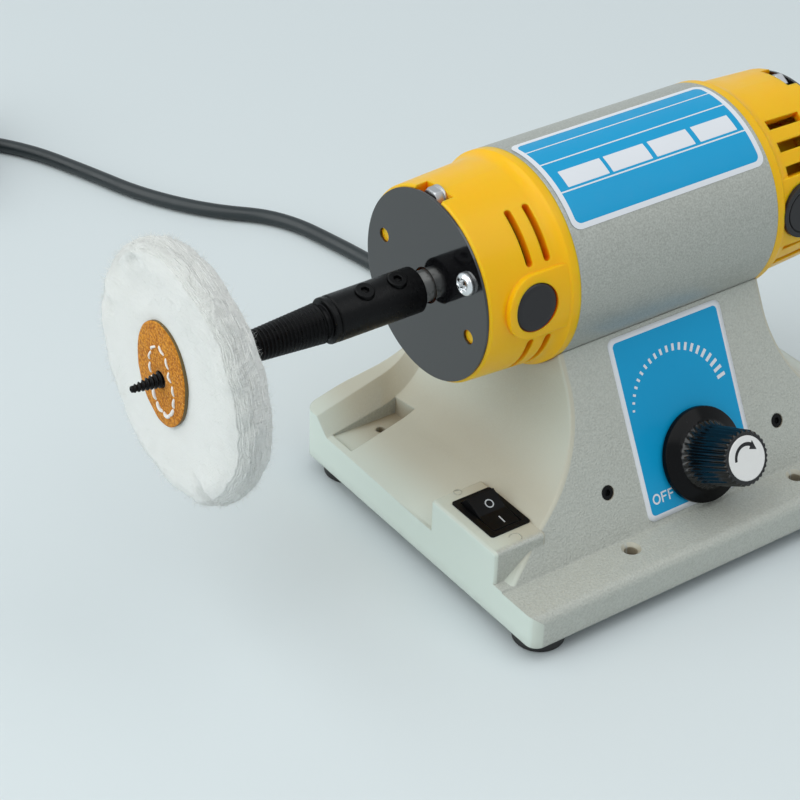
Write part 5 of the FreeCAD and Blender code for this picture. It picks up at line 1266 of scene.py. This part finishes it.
# ---- knob ----
# Distances from the panel and radii of its lathe-like outline, in mm.
KNOB_BACK = [(21.4, 3.05), (3.7, 3.05), (3.7, 8), (0.8, 8), (0.8, 15.3), (1, 15.5), (2.35, 15.5),
             (2.75, 15.35), (3, 14.9), (4.05, 11.7), (4.2, 11.4)]
KNOB_GRIP = [(4.4, 11.15), (4.8, 10.85), (5.3, 10.55), (5.9, 10.26), (6.6, 10), (7.4, 9.82), (8.4, 9.68),
             (10, 9.56), (14, 9.36), (18, 9.17), (22.6, 8.95), (22.9, 8.85), (23.4, 8.4)]
KNOB_FRONT = [(23.4, 7.2), (22.4, 7.18), (22.4, 0.1)]
SKIRT_ROWS = 1  # rows of the grip's foot that are as dull as the skirt
RIBS = 30
RIB_STEPS = 8
RIB_DEPTH = 0.8
CAP_FACE = 23.73
ARROW_R = 4.5
ARROW_HALF = 0.62
ARROW_START = 178
ARROW_END = 54


def on_knob(u, v, lift):
    """Coordinates from the knob's middle in mm, in the directions of the panel's."""
    return on_panel(KNOB_X + u, KNOB_SLOPE + v, lift)


def add_knob():
    """Control knob: a broad skirt and a ribbed grip whose grooves run out towards the skirt."""
    shape = Shape()
    count = RIBS * RIB_STEPS
    rows = []
    for outline, ribbed in ((KNOB_BACK, 0), (KNOB_GRIP, 1), (KNOB_FRONT, 0)):
        for lift, ridge in outline:
            depth = RIB_DEPTH * smooth_step(3.6, 7.5, lift) * (1 - 0.5 * smooth_step(22.6, 23.4, lift))
            row = []
            for k, turn in enumerate(turns(count)):
                groove = 0.5 - 0.5 * math.cos(2 * math.pi * (k % RIB_STEPS) / RIB_STEPS)
                radius = ridge - depth * groove * ribbed
                row.append(on_knob(radius * math.cos(turn), radius * math.sin(turn), lift))
            rows.append(row)
    shape.grid(rows)
    knob = shape.piece("ribbed_knob", "knob", KNOB_BLACK, sharp=38)
    knob.data.materials.append(SKIRT_BLACK)
    for face in knob.data.polygons[:count * (len(KNOB_BACK) + SKIRT_ROWS)]:
        face.material_index = 1
    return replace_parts(knob, "speed_knob")


def on_cap(u, v):
    return on_knob(u, v, CAP_FACE)


def add_knob_print():
    """Black arrow on the knob's cap that shows which way to turn it."""
    shape = Shape()
    ring_band(shape, (0, 0), (ARROW_R - ARROW_HALF * 0.8, ARROW_R - ARROW_HALF),
              (ARROW_R + ARROW_HALF * 0.8, ARROW_R + ARROW_HALF), ARROW_START, ARROW_END, on_cap)
    turn = math.radians(ARROW_END)
    side = Vector((math.cos(turn), math.sin(turn)))
    along = Vector((side.y, -side.x))
    tip = side * ARROW_R
    base = tip - along * 0.3
    point = tip + along * 2.5 - side * 0.7
    shape.verts += [on_cap(*corner) for corner in (base - side * 1.6, base + side * 1.4, point)]
    shape.faces.append(tuple(range(len(shape.verts) - 3, len(shape.verts))))
    return shape.piece("knob_arrow", "knob", BLACK_INK)


# ---- switch ----
ROCKER_X = -70.35
ROCKER_PIVOT = (-35, 27.5)
ROCKER_THROW = math.radians(15)
ROCKER_DIP = 3.047  # the rocker's face over its pivot, at the middle
ROCKER_RISE = 1.252 / 7.1  # and how fast each half rises to its end
ROCKER_INK = 0.04  # the marks' height over that face
BOSS_TOP = 29.56
# Marks cast into the boss: centre, radius, first and last angle in degrees.
BOSS_MARKS = (((-72.6, -20.9), 1.25, 0, 360), ((-71.5, -48.9), 1.9, -60, 150))
BOSS_MARK_STEPS = 40


def on_rocker(u, v):
    """Rocker coordinates in mm: u along the motor, v to the back; its front end is pressed in."""
    height = ROCKER_DIP + abs(v) * ROCKER_RISE + ROCKER_INK
    y = v * math.cos(ROCKER_THROW) - height * math.sin(ROCKER_THROW)
    z = v * math.sin(ROCKER_THROW) + height * math.cos(ROCKER_THROW)
    return at(ROCKER_X + u, ROCKER_PIVOT[0] + y, ROCKER_PIVOT[1] + z)


def add_rocker_marks():
    """Printed O and I on the two halves of the rocker."""
    shape = Shape()
    ring_band(shape, (0.75, 2.9), (1.1, 1.1), (1.5, 1.5), 0, 360, on_rocker)
    bar_letter(shape, [(0.5, -5.6, 0.5, -2.5, 0.45)], on_rocker)
    return shape.piece("rocker_marks", "rocker", GREY_INK)


def add_boss_marks():
    """Raised ring and arc cast into the switch boss, beside the bezel."""
    shape = Shape()
    for (x, y), radius, start, end in BOSS_MARKS:
        points = []
        for k in range(BOSS_MARK_STEPS + 1):
            turn = math.radians(start + (end - start) * k / BOSS_MARK_STEPS)
            points.append(at(x + radius * math.cos(turn), y + radius * math.sin(turn), BOSS_TOP))
        shape.tube(points, 0.00018, 8)
    return shape.piece("boss_marks", "housing", ENAMEL)


add_wheel()
add_fuzz()
add_leather()
add_stitches()
add_mandrel()
add_set_screws()
add_plate_screws()
add_tie_bolts()
add_port_plugs()
add_motor_label()
add_panel_print()
add_knob()
add_knob_print()
add_rocker_marks()
add_boss_marks()


# ---- floor and light ----
FLOOR_RADII = (0, 200, 500, 900, 1300, 1800)
SKY_STRENGTH = 0.44
BACKDROP_STRENGTH = 0.9


def add_floor():
    """Round pale bench top."""
    finish = Finish("floor_pale", Roughness=0.6, Specular_IOR_Level=0.2)
    finish.colour(finish.noise(1.4, 2), srgb(214, 223, 226), srgb(220, 228, 230))
    finish.height(finish.noise(700, 2), 0.00001)
    shape = Shape()
    shape.set_in(Matrix(), rings([(radius, 0) for radius in FLOOR_RADII], 48))
    floor = shape.object("floor", finish.done())


def add_world():
    """Even sky; what the camera and the reflections see of it is as bright as a studio backdrop."""
    world = bpy.data.worlds.new("studio")
    world.use_nodes = True
    tree = world.node_tree
    sky = tree.nodes["Background"]
    sky.inputs["Color"].default_value = srgb(238, 243, 246)
    sky.inputs["Strength"].default_value = SKY_STRENGTH
    backdrop = add_node(tree, "ShaderNodeBackground",
                        {"Color": srgb(226, 234, 238), "Strength": BACKDROP_STRENGTH})
    path = add_node(tree, "ShaderNodeLightPath").outputs
    seen = add_node(tree, "ShaderNodeMath", {0: path["Is Camera Ray"], 1: path["Is Glossy Ray"]},
                    operation="MAXIMUM")
    both = add_node(tree, "ShaderNodeMixShader",
                    {0: seen.outputs[0], 1: sky.outputs[0], 2: backdrop.outputs[0]})
    tree.links.new(both.outputs[0], tree.nodes["World Output"].inputs["Surface"])
    bpy.context.scene.world = world


def add_lamp(name, place, target, size, power, colour=(1, 1, 1)):
    """Soft square lamp at a place, facing a target."""
    data = bpy.data.lights.new(name, "AREA")
    data.size = size
    data.energy = power
    data.color = colour
    lamp = in_scene(name, data)
    lamp.location = place
    lamp.rotation_euler = (Vector(target) - Vector(place)).to_track_quat("-Z", "Y").to_euler()


add_floor()
add_world()
add_lamp("lamp_left", (-1.4, 0.4, 1.25), (0, 0, 0.08), size=2.4, power=29,
         colour=(0.97, 1, 0.99))
add_lamp("lamp_top", (0.25, -0.6, 1.7), (0, 0, 0.05), size=1.8, power=11.5)

view = bpy.context.scene.view_settings
view.view_transform = "Standard"
